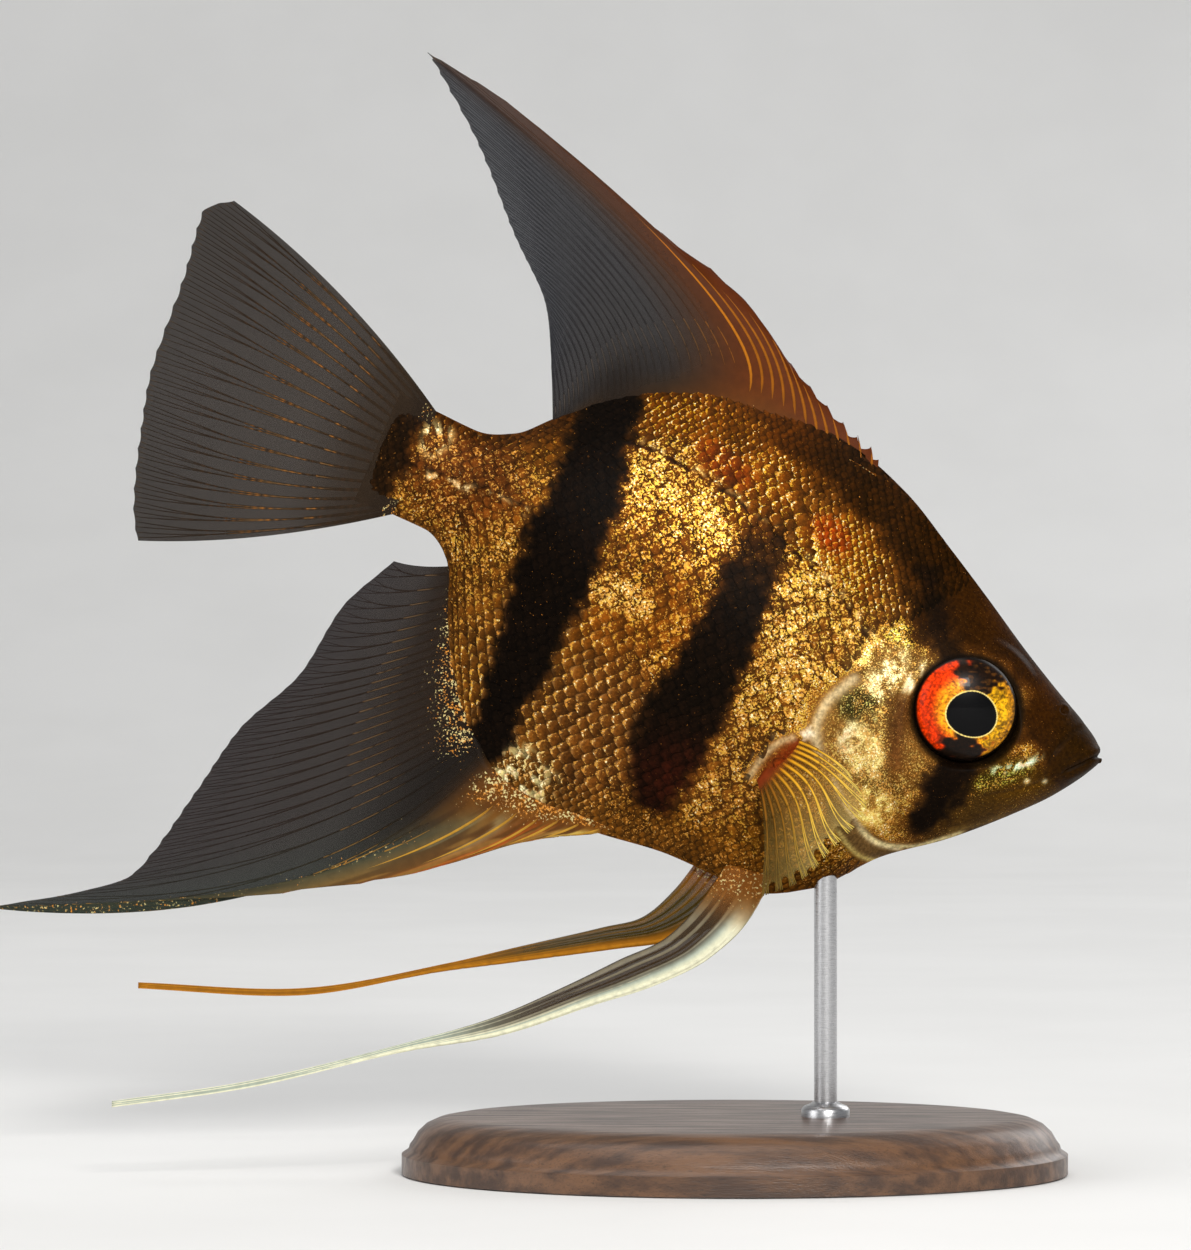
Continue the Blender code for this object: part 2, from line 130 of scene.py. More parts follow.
# Fin rays, from the first to the last: place along the fin from 0 to 1, then the ray's root,
# middle and tip.
DORSAL_RAYS = (
    (0.00, (37.6, 14.6), (37.4, 15.6), (37.0, 16.6)),
    (0.08, (35.2, 15.0), (34.6, 16.3), (33.6, 17.7)),
    (0.20, (31.6, 15.2), (29.8, 18.2), (26.6, 21.0)),
    (0.28, (28.8, 15.4), (26.2, 20.4), (19.6, 25.0)),
    (0.35, (26.0, 15.3), (22.8, 21.8), (9.4, 27.6)),
    (0.41, (23.6, 14.9), (19.0, 22.8), (-6.0, 32.4)),
    (0.45, (21.8, 14.4), (16.4, 22.8), (-12.9, 33.4)),
    (0.58, (18.0, 12.8), (12.4, 20.4), (-6.0, 28.0)),
    (0.72, (14.8, 10.6), (10.6, 17.6), (0.4, 21.6)),
    (0.86, (12.2, 8.4), (9.8, 13.6), (5.2, 17.2)),
    (1.00, (10.4, 6.6), (9.2, 9.4), (7.6, 13.0)),
)
ANAL_RAYS = (
    (0.00, (28.4, -22.6), (27.2, -23.6), (25.6, -24.2)),
    (0.10, (25.4, -22.6), (23.4, -25.2), (20.4, -27.6)),
    (0.20, (22.4, -22.9), (19.4, -27.8), (13.4, -33.4)),
    (0.30, (19.0, -22.6), (14.4, -30.0), (4.2, -39.0)),
    (0.38, (16.2, -21.4), (3.2, -39.0), (-19.4, -50.3)),
    (0.46, (14.6, -19.8), (5.0, -31.8), (-8.4, -42.4)),
    (0.58, (12.8, -17.4), (3.2, -27.4), (-6.4, -34.4)),
    (0.70, (11.2, -14.8), (2.8, -22.4), (-5.0, -27.6)),
    (0.82, (9.8, -12.0), (3.4, -17.6), (-1.8, -20.4)),
    (0.92, (8.4, -9.2), (3.8, -12.8), (-0.9, -14.4)),
    (1.00, (7.4, -6.6), (4.4, -8.0), (1.8, -8.6)),
)
CAUDAL_RAYS = (
    (0.00, (0.2, 4.8), (-11.4, 10.9), (-23.4, 14.9)),
    (0.08, (0.2, 4.1), (-11.6, 9.4), (-25.5, 13.0)),
    (0.30, (0.2, 2.0), (-11.6, 4.9), (-24.8, 6.6)),
    (0.50, (0.2, 0.0), (-11.6, -0.2), (-24.3, -0.8)),
    (0.70, (0.2, -2.0), (-11.0, -5.4), (-22.9, -6.8)),
    (0.92, (0.2, -4.1), (-10.2, -9.9), (-20.8, -13.4)),
    (1.00, (0.2, -4.8), (-9.6, -11.1), (-19.5, -15.7)),
)
# Paired fins spread from the body: each point is x, z and the distance from the mid-plane.
PECTORAL_RAYS = (
    (0.00, (39.4, -9.2, 5.0), (42.6, -9.2, 8.4), (45.0, -10.0, 9.8)),
    (0.25, (39.2, -10.4, 5.0), (43.8, -11.0, 9.2), (47.6, -12.6, 11.2)),
    (0.50, (38.9, -11.6, 5.0), (43.1, -13.6, 9.2), (46.2, -16.6, 11.4)),
    (0.75, (38.6, -12.8, 5.0), (42.1, -16.2, 8.8), (44.8, -20.2, 10.6)),
    (1.00, (38.4, -13.7, 4.8), (40.7, -18.2, 7.8), (42.2, -22.9, 9.2)),
)
# Pelvic fins: place along the fin, then the leading edge and the trailing edge.
RIGHT_PELVIC = (
    (0.00, (42.8, -21.0, 0.9), (38.8, -21.6, 0.9)),
    (0.06, (42.4, -25.0, 1.5), (38.0, -25.4, 1.7)),
    (0.14, (40.6, -29.4, 2.5), (36.4, -29.3, 2.9)),
    (0.22, (37.2, -33.4, 3.6), (33.4, -32.6, 4.0)),
    (0.32, (32.8, -37.1, 4.8), (30.2, -36.2, 5.1)),
    (0.44, (26.6, -42.4, 6.0), (25.4, -41.2, 6.1)),
    (0.58, (19.6, -46.8, 6.9), (19.2, -46.2, 6.9)),
    (0.80, (8.2, -55.0, 7.8), (7.9, -54.5, 7.8)),
    (1.00, (-1.8, -61.0, 8.2), (-2.0, -60.5, 8.2)),
)
LEFT_PELVIC = (
    (0.00, (42.6, -21.0, 0.9), (36.6, -21.4, 0.9)),
    (0.08, (41.0, -25.6, 1.8), (35.6, -25.4, 1.7)),
    (0.18, (37.6, -29.4, 3.2), (34.0, -28.8, 3.0)),
    (0.30, (32.6, -32.6, 4.6), (31.0, -31.2, 4.4)),
    (0.44, (25.4, -36.9, 6.0), (24.8, -35.8, 5.9)),
    (0.56, (20.0, -40.1, 6.8), (19.8, -39.5, 6.8)),
    (0.78, (8.9, -47.3, 7.9), (8.7, -46.7, 7.9)),
    (1.00, (-4.6, -52.4, 8.4), (-4.8, -51.9, 8.4)),
)


# -------- curves, noise and lines

def curve_through(places, values, at):
    """A smooth curve through the values that never swings past them."""
    places, values, at = (np.asarray(numbers, float) for numbers in (places, values, at))
    step = np.diff(places)[:, None]
    slope = np.diff(values, axis=0) / step
    product = slope[:-1] * slope[1:]
    total = np.where(product > 0.0, slope[:-1] + slope[1:], 1.0)
    inner = np.where(product > 0.0, 2.0 * product / total, 0.0)
    tangent = np.vstack([slope[:1], inner, slope[-1:]])
    i = np.clip(np.searchsorted(places, at, side="right") - 1, 0, len(step) - 1)
    t = ((at - places[i]) / step[i, 0])[..., None]
    rise = t * t * (3.0 - 2.0 * t)
    bend = t * (1.0 - t) * step[i]
    lean = (1.0 - t) * tangent[i] - t * tangent[i + 1]
    return values[i] * (1.0 - rise) + values[i + 1] * rise + bend * lean


def smooth(low, high, value):
    """0 before low, 1 past high, and a smooth rise between them."""
    t = np.clip((value - low) / (high - low), 0.0, 1.0)
    return t * t * (3.0 - 2.0 * t)


def hump(value, centre, reach):
    """A soft peak of 1 at the centre."""
    return np.exp(-(((value - centre) / reach) ** 2))


def soft_noise(x, z, size, seed, cells=64):
    """Smooth noise from 0 to 1, in patches of about the given size."""
    table = np.random.default_rng(seed).random((cells, cells))
    u, v = np.asarray(x) / size + 1000.5, np.asarray(z) / size + 1000.5
    i, j = np.floor(u).astype(int), np.floor(v).astype(int)
    s, t = smooth(0.0, 1.0, u - i), smooth(0.0, 1.0, v - j)
    i, j = i % cells, j % cells
    k, m = (i + 1) % cells, (j + 1) % cells
    near = table[i, j] * (1.0 - s) + table[k, j] * s
    far = table[i, m] * (1.0 - s) + table[k, m] * s
    return near * (1.0 - t) + far * t


def between_rows(rows, at):
    """Values between a table's rows, which count from 0."""
    return curve_through(range(len(rows)), rows, at)


LINE_POINTS = 24  # on each smooth line in the side view


def to_line(corners, x, z):
    """Signed distance from a smooth line in the side view, and how far along it, from 0 to 1."""
    line = between_rows(corners, np.linspace(0.0, len(corners) - 1.0, LINE_POINTS))
    near = np.full(np.shape(x), np.inf)
    side = np.ones(np.shape(x))
    along = np.zeros(np.shape(x))
    for step, (start, end) in enumerate(zip(line[:-1], line[1:])):
        run_x, run_z = end - start
        off_x, off_z = x - start[0], z - start[1]
        t = np.clip((off_x * run_x + off_z * run_z) / (run_x**2 + run_z**2), 0.0, 1.0)
        gap = np.hypot(off_x - t * run_x, off_z - t * run_z)
        closer = gap < near
        near = np.where(closer, gap, near)
        side = np.where(closer, np.sign(run_x * off_z - run_z * off_x), side)
        along = np.where(closer, (step + t) / (len(line) - 1.0), along)
    return near * side, along


def gap_to(corners, x, z):
    """Signed distance from a smooth line in the side view."""
    return to_line(corners, x, z)[0]


def along_line(corners, x, z, reach, ends=0.06):
    """A soft stroke along a line, fading at both ends."""
    gap, along = to_line(corners, x, z)
    return hump(gap, 0.0, reach) * smooth(0.0, ends, along) * smooth(1.0, 1.0 - ends, along)


def distance(x, z, centre):
    """How far places in the side view are from a centre."""
    return np.hypot(x - centre[0], z - centre[1])


def oval(x, z, centre, reach, lean=0.0):
    """A soft oval in the side view, leaning back by so many degrees."""
    across, up = rotated(math.radians(lean), x - centre[0], z - centre[1])
    return smooth(1.45, 0.55, np.hypot(across / reach[0], up / reach[1]))


# -------- meshes

def mesh_object(name, points, faces, world=False):
    """A smooth mesh from points in the fish's frame, or in the row frame if world is set."""
    places = points if world else posed(points)
    faces = faces if isinstance(faces, list) else faces.tolist()
    mesh = bpy.data.meshes.new(name)
    mesh.from_pydata(places.reshape(-1, 3).tolist(), [], faces)
    mesh.shade_smooth()
    piece = bpy.data.objects.new(name, mesh)
    bpy.context.scene.collection.objects.link(piece)
    return piece


def set_colour(piece, name, shown):
    """Keeps a colour for each vertex, given as it looks, from 0 to 1."""
    layer = piece.data.color_attributes.new(name, "FLOAT_COLOR", "POINT")
    shown = np.clip(shown.reshape(-1, 3), 0.0, 1.0)
    linear = np.where(shown <= 0.04045, shown / 12.92, ((shown + 0.055) / 1.055) ** 2.4)
    layer.data.foreach_set("color", np.column_stack([linear, np.ones(len(linear))]).ravel())


def set_value(piece, name, value):
    layer = piece.data.attributes.new(name, "FLOAT", "POINT")
    layer.data.foreach_set("value", np.asarray(value, float).ravel())


def set_unwrap(piece, uv):
    """The OFBake map, from a place on the unwrap for each face corner."""
    layer = piece.data.uv_layers.new(name="OFBake")
    layer.data.foreach_set("uv", uv.reshape(-1, 2).ravel())


def corners_of(piece):
    index = np.empty(len(piece.data.loops), int)
    piece.data.loops.foreach_get("vertex_index", index)
    return index


def grid_faces(rows, columns, wrap=False):
    """Quads over a grid of points. A wrapped grid closes across its columns."""
    r = np.arange(rows - 1)[:, None]
    c = np.arange(columns if wrap else columns - 1)[None, :]
    d = (c + 1) % columns
    quads = (r * columns + c, r * columns + d, (r + 1) * columns + d, (r + 1) * columns + c)
    return np.stack(np.broadcast_arrays(*quads), axis=-1).reshape(-1, 4)


def grid_border(rows, columns):
    """Indices once round the edge of a grid of points."""
    index = np.arange(rows * columns).reshape(rows, columns)
    return np.concatenate([index[0], index[1:, -1], index[-1, -2::-1], index[-2:0:-1, 0]])


def closed_rings(rings, around):
    """Faces of a solid made of rings of points: its side, and a cap at each end."""
    caps = [list(range(around))[::-1], [k + (rings - 1) * around for k in range(around)]]
    return grid_faces(rings, around, wrap=True).tolist() + caps


def unit_vectors(vectors):
    length = np.linalg.norm(vectors, axis=-1, keepdims=True)
    return vectors / np.maximum(length, 1e-9)


def finish_piece(piece, look, slot, *nodes):
    """Gives a piece its look, hangs it from the root, and hides the nodes that it stands for."""
    piece.data.materials.append(look)
    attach(piece, "root")
    if nodes:
        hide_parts(*nodes)
    return piece


# -------- material nodes

class Nodes:
    """A new material, with short calls for its nodes."""

    def __init__(self, name):
        self.material = bpy.data.materials.new(name)
        self.material.use_nodes = True
        self.tree = self.material.node_tree
        self.shader = self.tree.nodes["Principled BSDF"]

    def link(self, value, socket):
        if isinstance(value, bpy.types.NodeSocket):
            self.tree.links.new(value, socket)
        else:
            socket.default_value = value

    def add(self, kind, inputs=(), **settings):
        node = self.tree.nodes.new(kind)
        for key, value in settings.items():
            setattr(node, key, value)
        for key, value in dict(inputs).items():
            self.link(value, node.inputs[key])
        return node

    def maths(self, operation, a, b):
        return self.add("ShaderNodeMath", {0: a, 1: b}, operation=operation).outputs[0]

    def attribute(self, name, output="Color"):
        return self.add("ShaderNodeAttribute", attribute_name=name).outputs[output]

    def mix(self, share, a, b, blend="MIX"):
        inputs = {0: share, 6: a, 7: b}
        return self.add("ShaderNodeMix", inputs, data_type="RGBA", blend_type=blend).outputs[2]

    def between(self, value, low, high, to_low=0.0, to_high=1.0):
        """Takes a value from one range to another, smoothly."""
        inputs = {0: value, 1: low, 2: high, 3: to_low, 4: to_high}
        return self.add("ShaderNodeMapRange", inputs, interpolation_type="SMOOTHSTEP").outputs[0]

    def place(self, stretch=(1.0, 1.0, 1.0), turn=(0.0, 0.0, 0.0)):
        spot = self.add("ShaderNodeTexCoord").outputs["Object"]
        moved = {"Vector": spot, "Rotation": turn, "Scale": stretch}
        return self.add("ShaderNodeMapping", moved).outputs[0]

    def noise(self, size, detail=3.0, rough=0.55, vector=None):
        """Noise with patches of about this many metres."""
        inputs = {"Vector": vector or self.place(), "Scale": 1.0 / size}
        inputs.update({"Detail": detail, "Roughness": rough})
        return self.add("ShaderNodeTexNoise", inputs).outputs["Fac"]

    def flecks(self, size, detail, rough, share, low, high, edge):
        """Flecks in noise, few where the share is 0 and thick where it is 1."""
        start = self.between(share, 0.0, 1.0, low, high)
        return self.between(self.noise(size, detail, rough), start, self.maths("ADD", start, edge))

    def darkened(self, tone, amount):
        return self.mix(1.0, tone, amount, "MULTIPLY")

    def bump(self, height, distance, strength=1.0):
        inputs = {"Height": height, "Distance": distance, "Strength": strength}
        self.link(self.add("ShaderNodeBump", inputs).outputs[0], self.shader.inputs["Normal"])

    def set(self, **values):
        for key, value in values.items():
            self.link(value, self.shader.inputs[key.replace("_", " ")])
        return self.material


# -------- the skin's shape

SKIN_DEPTH = 0.12  # the skin lies this far inside the solids, which leaves room for the scales
SKIN_HALF = 150  # points down one side of a ring
TAIL_RINGS = 16
TRUNK_RINGS = 180
HEAD_RINGS = 260
TIP_RINGS = 5
HEAD_START = 40.0

EYE_SIDE = 4.1  # the eyeball's rim, from the mid-plane
EYE_BULGE = 2.1
SOCKET_DEPTH = 0.7
EYE_TURN = math.radians(6.0)  # how far the eye looks forward
EYE_SHIFT = (-0.30, 0.15)  # of the eyeball in its socket

GILL_EDGE = (
    (44.2, 3.0), (42.9, 1.0), (41.9, -1.6), (40.7, -4.4), (40.3, -6.8), (41.0, -9.3), (43.2, -11.5),
    (46.4, -13.3), (49.6, -14.3), (53.2, -14.5),
)
CHEEK_EDGE = ((47.0, 0.4), (46.9, -2.6), (47.5, -5.6), (48.6, -8.6), (50.2, -11.0), (53.0, -12.3))
FACE_EDGE = ((40.0, 2.6), (43.6, 3.4), (46.2, 5.2), (48.4, 8.2), (49.6, 11.0))
THROAT_FOLD = ((42.8, -11.4), (45.6, -14.9), (49.2, -16.6), (52.8, -15.6), (56.2, -12.6))
MOUTH = ((65.8, 0.15), (64.8, -0.35), (63.6, -1.6), (62.3, -3.0))
LIP_FOLD = ((62.9, 2.0), (61.6, 0.2), (60.9, -2.0), (61.3, -4.2))
JAW_FOLD = ((62.2, -3.3), (60.4, -4.9), (58.3, -6.6), (56.0, -8.0))
NOSTRIL = (60.5, 2.2)
LATERAL_FRONT = ((42.4, 1.2), (38.5, 3.6), (32.1, 6.2), (25.6, 8.2), (18.6, 9.0), (15.0, 8.6))
LATERAL_REAR = ((-0.6, -0.3), (3.5, 0.0), (7.1, 0.4), (10.0, 0.2), (14.6, 0.7))
PECTORAL_ROOT = ((40.3, -8.4), (39.6, -10.6), (38.9, -13.8))


def ring_rows():
    """The body's rows, closest together over the head."""
    tail = between_rows(TAIL_SHEATH + BODY[:1], np.linspace(0.0, len(TAIL_SHEATH), TAIL_RINGS + 1))
    dense = np.linspace(0.0, len(BODY) - 1.0, 2001)
    rows = between_rows(BODY, dense)
    middle = (rows[:, 0] + rows[:, 2]) / 2.0
    trunk = np.linspace(0.0, HEAD_START, TRUNK_RINGS, endpoint=False)
    head = np.linspace(HEAD_START, BODY[-1][0], HEAD_RINGS)
    along = np.interp(np.concatenate([trunk, head]), middle, dense)
    body = between_rows(BODY, along)
    tip = between_rows(BODY[-1:] + SNOUT_TIP, np.linspace(0.0, 1.0, TIP_RINGS))
    return np.vstack([tail[:-1], body, tip[1:]])


def section_rings(rows):
    """One ring of points for each row: down the right side from the back, and up the left."""
    down = 0.5 - 0.5 * np.cos(np.pi * np.linspace(0.0, 1.0, SKIN_HALF + 1))
    back_x, back_z, belly_x, belly_z, half_width, widest, keel = (rows[:, k, None] for k in range(7))
    bulge = np.sin(np.pi * down ** (np.log(0.5) / np.log(widest))) ** keel
    bulge[:, [0, -1]] = 0.0
    x = back_x + (belly_x - back_x) * down
    z = back_z - SKIN_DEPTH + (belly_z - back_z + 2.0 * SKIN_DEPTH) * down
    y = np.maximum(half_width - SKIN_DEPTH, 0.05) * bulge
    right = np.stack([x, -y, z], axis=-1)
    left = np.stack([x, y, z], axis=-1)[:, -2:0:-1]
    share = np.concatenate([down, down[-2:0:-1]])
    return np.concatenate([right, left], axis=1), np.broadcast_to(share, (len(rows), len(share)))


def grid_normals(points):
    """Outward normals over the skin's wrapped grid."""
    ahead = np.gradient(points, axis=0)
    around = np.roll(points, -1, axis=1) - np.roll(points, 1, axis=1)
    return unit_vectors(np.cross(around, ahead))


# Folds that stand out on one side: the line; where along it the fold rises and ends; its height; the
# gaps between which it steps up, and where it fades; its groove's depth, and the groove's gap and reach.
FOLDS = (
    (GILL_EDGE, (0.12, 0.42, 0.85), 0.24, (-0.08, 0.10, 3.2), 0.20, (-0.35, 0.40)),
    (CHEEK_EDGE, (0.0, 0.12, 0.8), 0.12, (-0.1, 0.15, 2.4), 0.14, (-0.25, 0.3)),
    (THROAT_FOLD, (0.0, 0.12, 0.8), 0.14, (-0.08, 0.10, 1.8), 0.12, (-0.25, 0.3)),
)


def head_relief(x, z):
    """How far the head's skin stands out of its plain loft."""
    lift = np.zeros(np.shape(x))
    for line, (start, full, end), height, (foot, top, fade), depth, groove in FOLDS:
        gap, along = to_line(line, x, z)
        step = height * smooth(foot, top, gap) * smooth(fade, 0.2, gap)
        lift += smooth(start, full, along) * smooth(1.0, end, along) * (step - depth * hump(gap, *groove))
    gap, along = to_line(MOUTH, x, z)
    lips = 0.13 * hump(abs(gap), 0.60, 0.36) - 0.30 * hump(gap, 0.0, 0.15)
    lift += smooth(1.0, 0.86, along) * lips
    lift -= 0.17 * along_line(LIP_FOLD, x, z, 0.22, 0.15)
    lift -= 0.12 * along_line(JAW_FOLD, x, z, 0.26, 0.2)
    nostril = distance(x, z, NOSTRIL)
    return lift + 0.10 * hump(nostril, 0.42, 0.16) - 0.30 * hump(nostril, 0.0, 0.26)


def trunk_relief(x, z):
    """How far the lateral line and the pectoral fin's root stand out."""
    lines = sum(0.05 * along_line(line, x, z, 0.20) for line in (LATERAL_FRONT, LATERAL_REAR))
    return lines + 0.35 * along_line(PECTORAL_ROOT, x, z, 0.75, 0.25)


def eye_gap(x, z):
    """Distance outwards from the eye's rim, in the side view."""
    return distance(x, z, EYE_CENTRE[::2]) - EYE_RADIUS


def eye_rim(x):
    """The eyeball's rim, from the mid-plane."""
    return EYE_SIDE - (x - EYE_CENTRE[0]) * math.tan(EYE_TURN)


def set_orbits(points):
    """Draws the skin up to the eyeballs' rims, and sinks it behind them."""
    x, y, z = np.moveaxis(points, -1, 0)
    out = eye_gap(x, z)
    rim = eye_rim(x)
    held = np.clip(abs(y), rim - 0.12 - 0.9 * out, rim + 0.10 + 1.2 * out)
    wanted = held + (rim - SOCKET_DEPTH - held) * smooth(0.0, -0.22, out)
    reach = smooth(2.6, 2.0, out) * (abs(y) > 0.8)
    points[..., 1] = np.sign(y) * (abs(y) + (wanted - abs(y)) * reach)


def skin_grid():
    points, down = section_rings(ring_rows())
    x, z = points[..., 0].copy(), points[..., 2].copy()
    lift = trunk_relief(x, z)
    head = x > HEAD_START - 1.0
    lift[head] += head_relief(x[head], z[head])
    keel = smooth(0.0, 0.05, down) * smooth(1.0, 0.95, down)
    shown_keel = np.where(x > 60.0, 1.0, keel)
    points = points + grid_normals(points) * (lift * shown_keel)[..., None]
    set_orbits(points)
    return points, grid_normals(points), down


SKIN_POINTS, SKIN_NORMALS, SKIN_DOWN = skin_grid()
RINGS, AROUND = SKIN_DOWN.shape


def on_skin(ring, around, grid=SKIN_POINTS):
    """Values of a skin grid at places between its points."""
    ring = np.clip(ring, 0.0, RINGS - 1.001)
    i, j = np.floor(ring).astype(int), np.floor(around).astype(int)
    s, t = (ring - i)[..., None], (around - j)[..., None]
    j, k = j % AROUND, (j + 1) % AROUND
    values = grid if grid.ndim == 3 else grid[..., None]
    near = values[i, j] * (1.0 - t) + values[i, k] * t
    far = values[i + 1, j] * (1.0 - t) + values[i + 1, k] * t
    return near * (1.0 - s) + far * s


# -------- markings, shared by skin and scales

def colour(tone):
    """A colour from three numbers up to 255. Arrays and single values stay as they are."""
    return np.array(tone, float) / 255.0 if isinstance(tone, tuple) else tone


def blend(share, low, high):
    """A colour between two, or two arrays of colours, for each share."""
    share = np.clip(np.asarray(share, float), 0.0, 1.0)[..., None]
    return colour(low) * (1.0 - share) + colour(high) * share


def over(shade, *coats):
    """Lays colours over a shade one after another, each as far as its mask says."""
    for mask, tone in coats:
        shade = blend(mask, shade, tone)
    return shade


def lay(coat, mask, *values):
    """Lays colours over the coat's layers where the mask says. A value of None leaves its layer."""
    for layer, value in zip(coat, values):
        if value is not None:
            layer += (colour(value) - layer) * np.clip(mask, 0.0, 1.0)[..., None]


# Dark bars: the centre line, half the width along it, the strength, and the share of it that fades in.
BARS = (
    (
        (
            (31.4, 11.0), (31.0, 8.0), (30.9, 4.7), (30.8, 0.0), (30.8, -4.6), (30.3, -9.5),
            (30.1, -14.3), (30.7, -18.4),
        ),
        (1.7, 2.0, 2.1, 2.3, 2.75, 3.25, 3.2, 1.8), 0.97, 0.50,
    ),
    (
        (
            (13.2, 15.0), (13.9, 11.5), (14.5, 7.1), (14.9, 2.6), (14.9, -2.1), (15.2, -6.7),
            (15.3, -11.3), (15.5, -15.8), (15.3, -20.5), (14.0, -25.0),
        ),
        (2.2, 2.4, 2.6, 3.0, 3.4, 3.1, 2.6, 2.1, 1.8, 1.4), 1.0, 0.05,
    ),
    (((44.4, 9.6), (47.2, 5.1), (49.6, 2.0)), (0.9, 1.3, 0.9), 0.75, 0.1),
    (((53.9, -5.0), (53.5, -7.9), (53.0, -11.2)), (1.4, 1.9, 1.4), 0.97, 0.1),
    (((-2.1, 7.4), (-2.0, 0.0), (-2.1, -7.4)), (1.5, 1.7, 1.5), 0.78, 0.05),
)

# Soft ovals over the body: centre, reach, lean; net colour; speck colour; share of specks.
PATCHES = (
    ((23.6, 6.4), (7.4, 6.4), -14.0, (116, 58, 6), (224, 172, 56), 0.76),
    ((20.4, 8.6), (4.0, 3.2), -14.0, (118, 62, 8), (236, 188, 72), 0.72),
    ((27.2, 5.8), (2.8, 1.9), -30.0, (124, 66, 9), (238, 194, 80), 1.0),
    ((24.0, -4.5), (6.5, 7.0), 0.0, (110, 57, 8), (206, 150, 46), 0.56),
    ((24.5, -15.5), (6.4, 6.8), 0.0, (96, 54, 15), (188, 134, 56), 0.56),
    ((20.3, 13.8), (4.6, 3.0), 0.0, (116, 58, 2), (216, 164, 22), 0.86),
    ((28.5, 13.9), (7.5, 3.2), 8.0, (98, 50, 3), (178, 116, 12), 0.56),
    ((29.0, 9.0), (3.0, 4.0), 0.0, (124, 62, 5), (224, 170, 44), 0.90),
    ((37.2, 6.2), (4.2, 4.2), -12.0, (128, 64, 4), (238, 192, 54), 1.0),
    ((37.2, -2.5), (4.6, 7.5), 0.0, (112, 63, 12), (222, 178, 70), 0.76),
    ((35.6, -14.5), (4.4, 5.5), 0.0, (108, 62, 15), (198, 148, 56), 0.62),
    ((43.0, -18.5), (5.0, 4.0), 0.0, (98, 58, 8), (168, 122, 30), 0.56),
    ((35.0, -21.2), (8.0, 2.6), 0.0, (110, 64, 12), (176, 122, 38), 0.58),
    ((9.5, -9.5), (3.6, 7.5), -10.0, (96, 54, 10), (196, 146, 52), 0.56),
    ((4.6, 0.6), (5.6, 4.4), 0.0, (92, 46, 11), (188, 136, 60), 0.48),
    ((18.9, -21.6), (3.4, 3.2), 0.0, (116, 72, 22), (248, 232, 156), 0.94),
    ((35.9, 8.3), (2.0, 1.3), -20.0, (138, 50, 4), (232, 140, 32), 0.62),
    ((25.0, 10.3), (3.0, 1.3), -15.0, (126, 50, 4), (228, 146, 36), 0.66),
    ((20.9, -3.7), (3.4, 1.4), 0.0, (118, 65, 12), (232, 184, 80), 0.88),
)
# Pearly foil on the gill cover, partly its own colour and partly painted highlight, and dark patches, in
# the same order.
PEARLS = (
    ((42.7, 0.2), (2.0, 1.3), 30.0, (150, 106, 38), (240, 214, 116), 0.86),
    ((44.9, -1.0), (1.35, 2.5), -12.0, (196, 164, 98), (248, 236, 176), 0.92),
    ((43.8, -4.5), (1.9, 1.5), 0.0, (46, 38, 12), (196, 186, 100), 0.50),
    ((44.4, -7.2), (1.3, 1.4), 0.0, (214, 196, 138), (250, 244, 206), 0.90),
    ((46.2, -8.2), (1.7, 3.2), 22.0, (178, 142, 70), (240, 216, 128), 0.88),
    ((47.9, -11.9), (2.2, 1.7), -20.0, (196, 156, 58), (252, 236, 140), 0.94),
    ((49.6, -8.9), (1.4, 1.6), 0.0, (104, 66, 22), (214, 180, 90), 0.50),
    ((47.2, -0.5), (0.5, 1.7), -8.0, (232, 214, 160), (254, 248, 214), 0.95),
    ((45.2, 2.9), (1.9, 1.0), 20.0, (58, 38, 8), (246, 222, 84), 0.66),
)
CHEEK_STRIPE = ((46.9, -1.4), (47.3, -3.8), (48.1, -6.6), (49.0, -9.0))
STREAK = ((56.0, -5.4), (57.4, -4.6), (58.9, -3.5), (59.8, -2.6), (60.4, -1.6))
# Where the skin of the nape and crown begins, dark and nearly bare of specks.
CROWN_EDGE = (
    (22.0, 15.8), (30.5, 13.2), (33.9, 11.9), (37.5, 10.3), (41.4, 9.2), (43.9, 6.0), (45.6, 2.8),
    (50.0, 3.9), (56.4, 2.8), (57.8, -1.4), (60.6, -3.0),
)

# Fine lines of colour: the line, its reach, its colour, its strength and its share of specks.
STROKES = (
    (
        ((42.9, -1.7), (42.0, -3.2), (41.0, -5.4), (40.9, -7.0), (41.7, -8.9), (42.7, -10.1)),
        0.55, (198, 176, 132), 0.85, 0.12,
    ),
    (((43.6, -10.6), (46.6, -13.1), (50.1, -14.7), (52.8, -14.4)), 0.24, (225, 205, 160), 0.8, 0.2),
    (((45.4, -14.6), (49.3, -16.4), (52.9, -15.4), (56.4, -12.9)), 0.24, (214, 192, 110), 0.8, 0.2),
    (
        ((47.6, -14.0), (50.2, -14.6), (52.9, -13.9), (55.2, -12.2), (57.0, -10.6)),
        0.22, (236, 220, 160), 0.85, 0.4,
    ),
    (((55.0, -11.6), (57.6, -9.8), (59.6, -8.0)), 0.26, (120, 92, 40), 0.5, 0.3),
    (((40.3, -8.9), (39.8, -10.4), (38.8, -13.6)), 0.95, (112, 40, 8), 0.95, 0.06),
    (((40.0, -8.8), (38.7, -9.9), (37.8, -11.9), (37.4, -14.4)), 0.34, (204, 176, 128), 0.8, 0.1),
    (((40.9, -7.9), (40.2, -8.8)), 0.5, (250, 236, 205), 0.9, 0.1),
    (((19.6, -23.4), (24.0, -23.9), (28.0, -23.5)), 0.42, (176, 84, 30), 0.55, 0.1),
    # The last two lines are painted shade in the mouth's slit and along the lip's fold.
    (MOUTH, 0.14, (26, 16, 5), 0.55, 0.0),
    (LIP_FOLD, 0.16, (36, 22, 6), 0.5, 0.0),
)
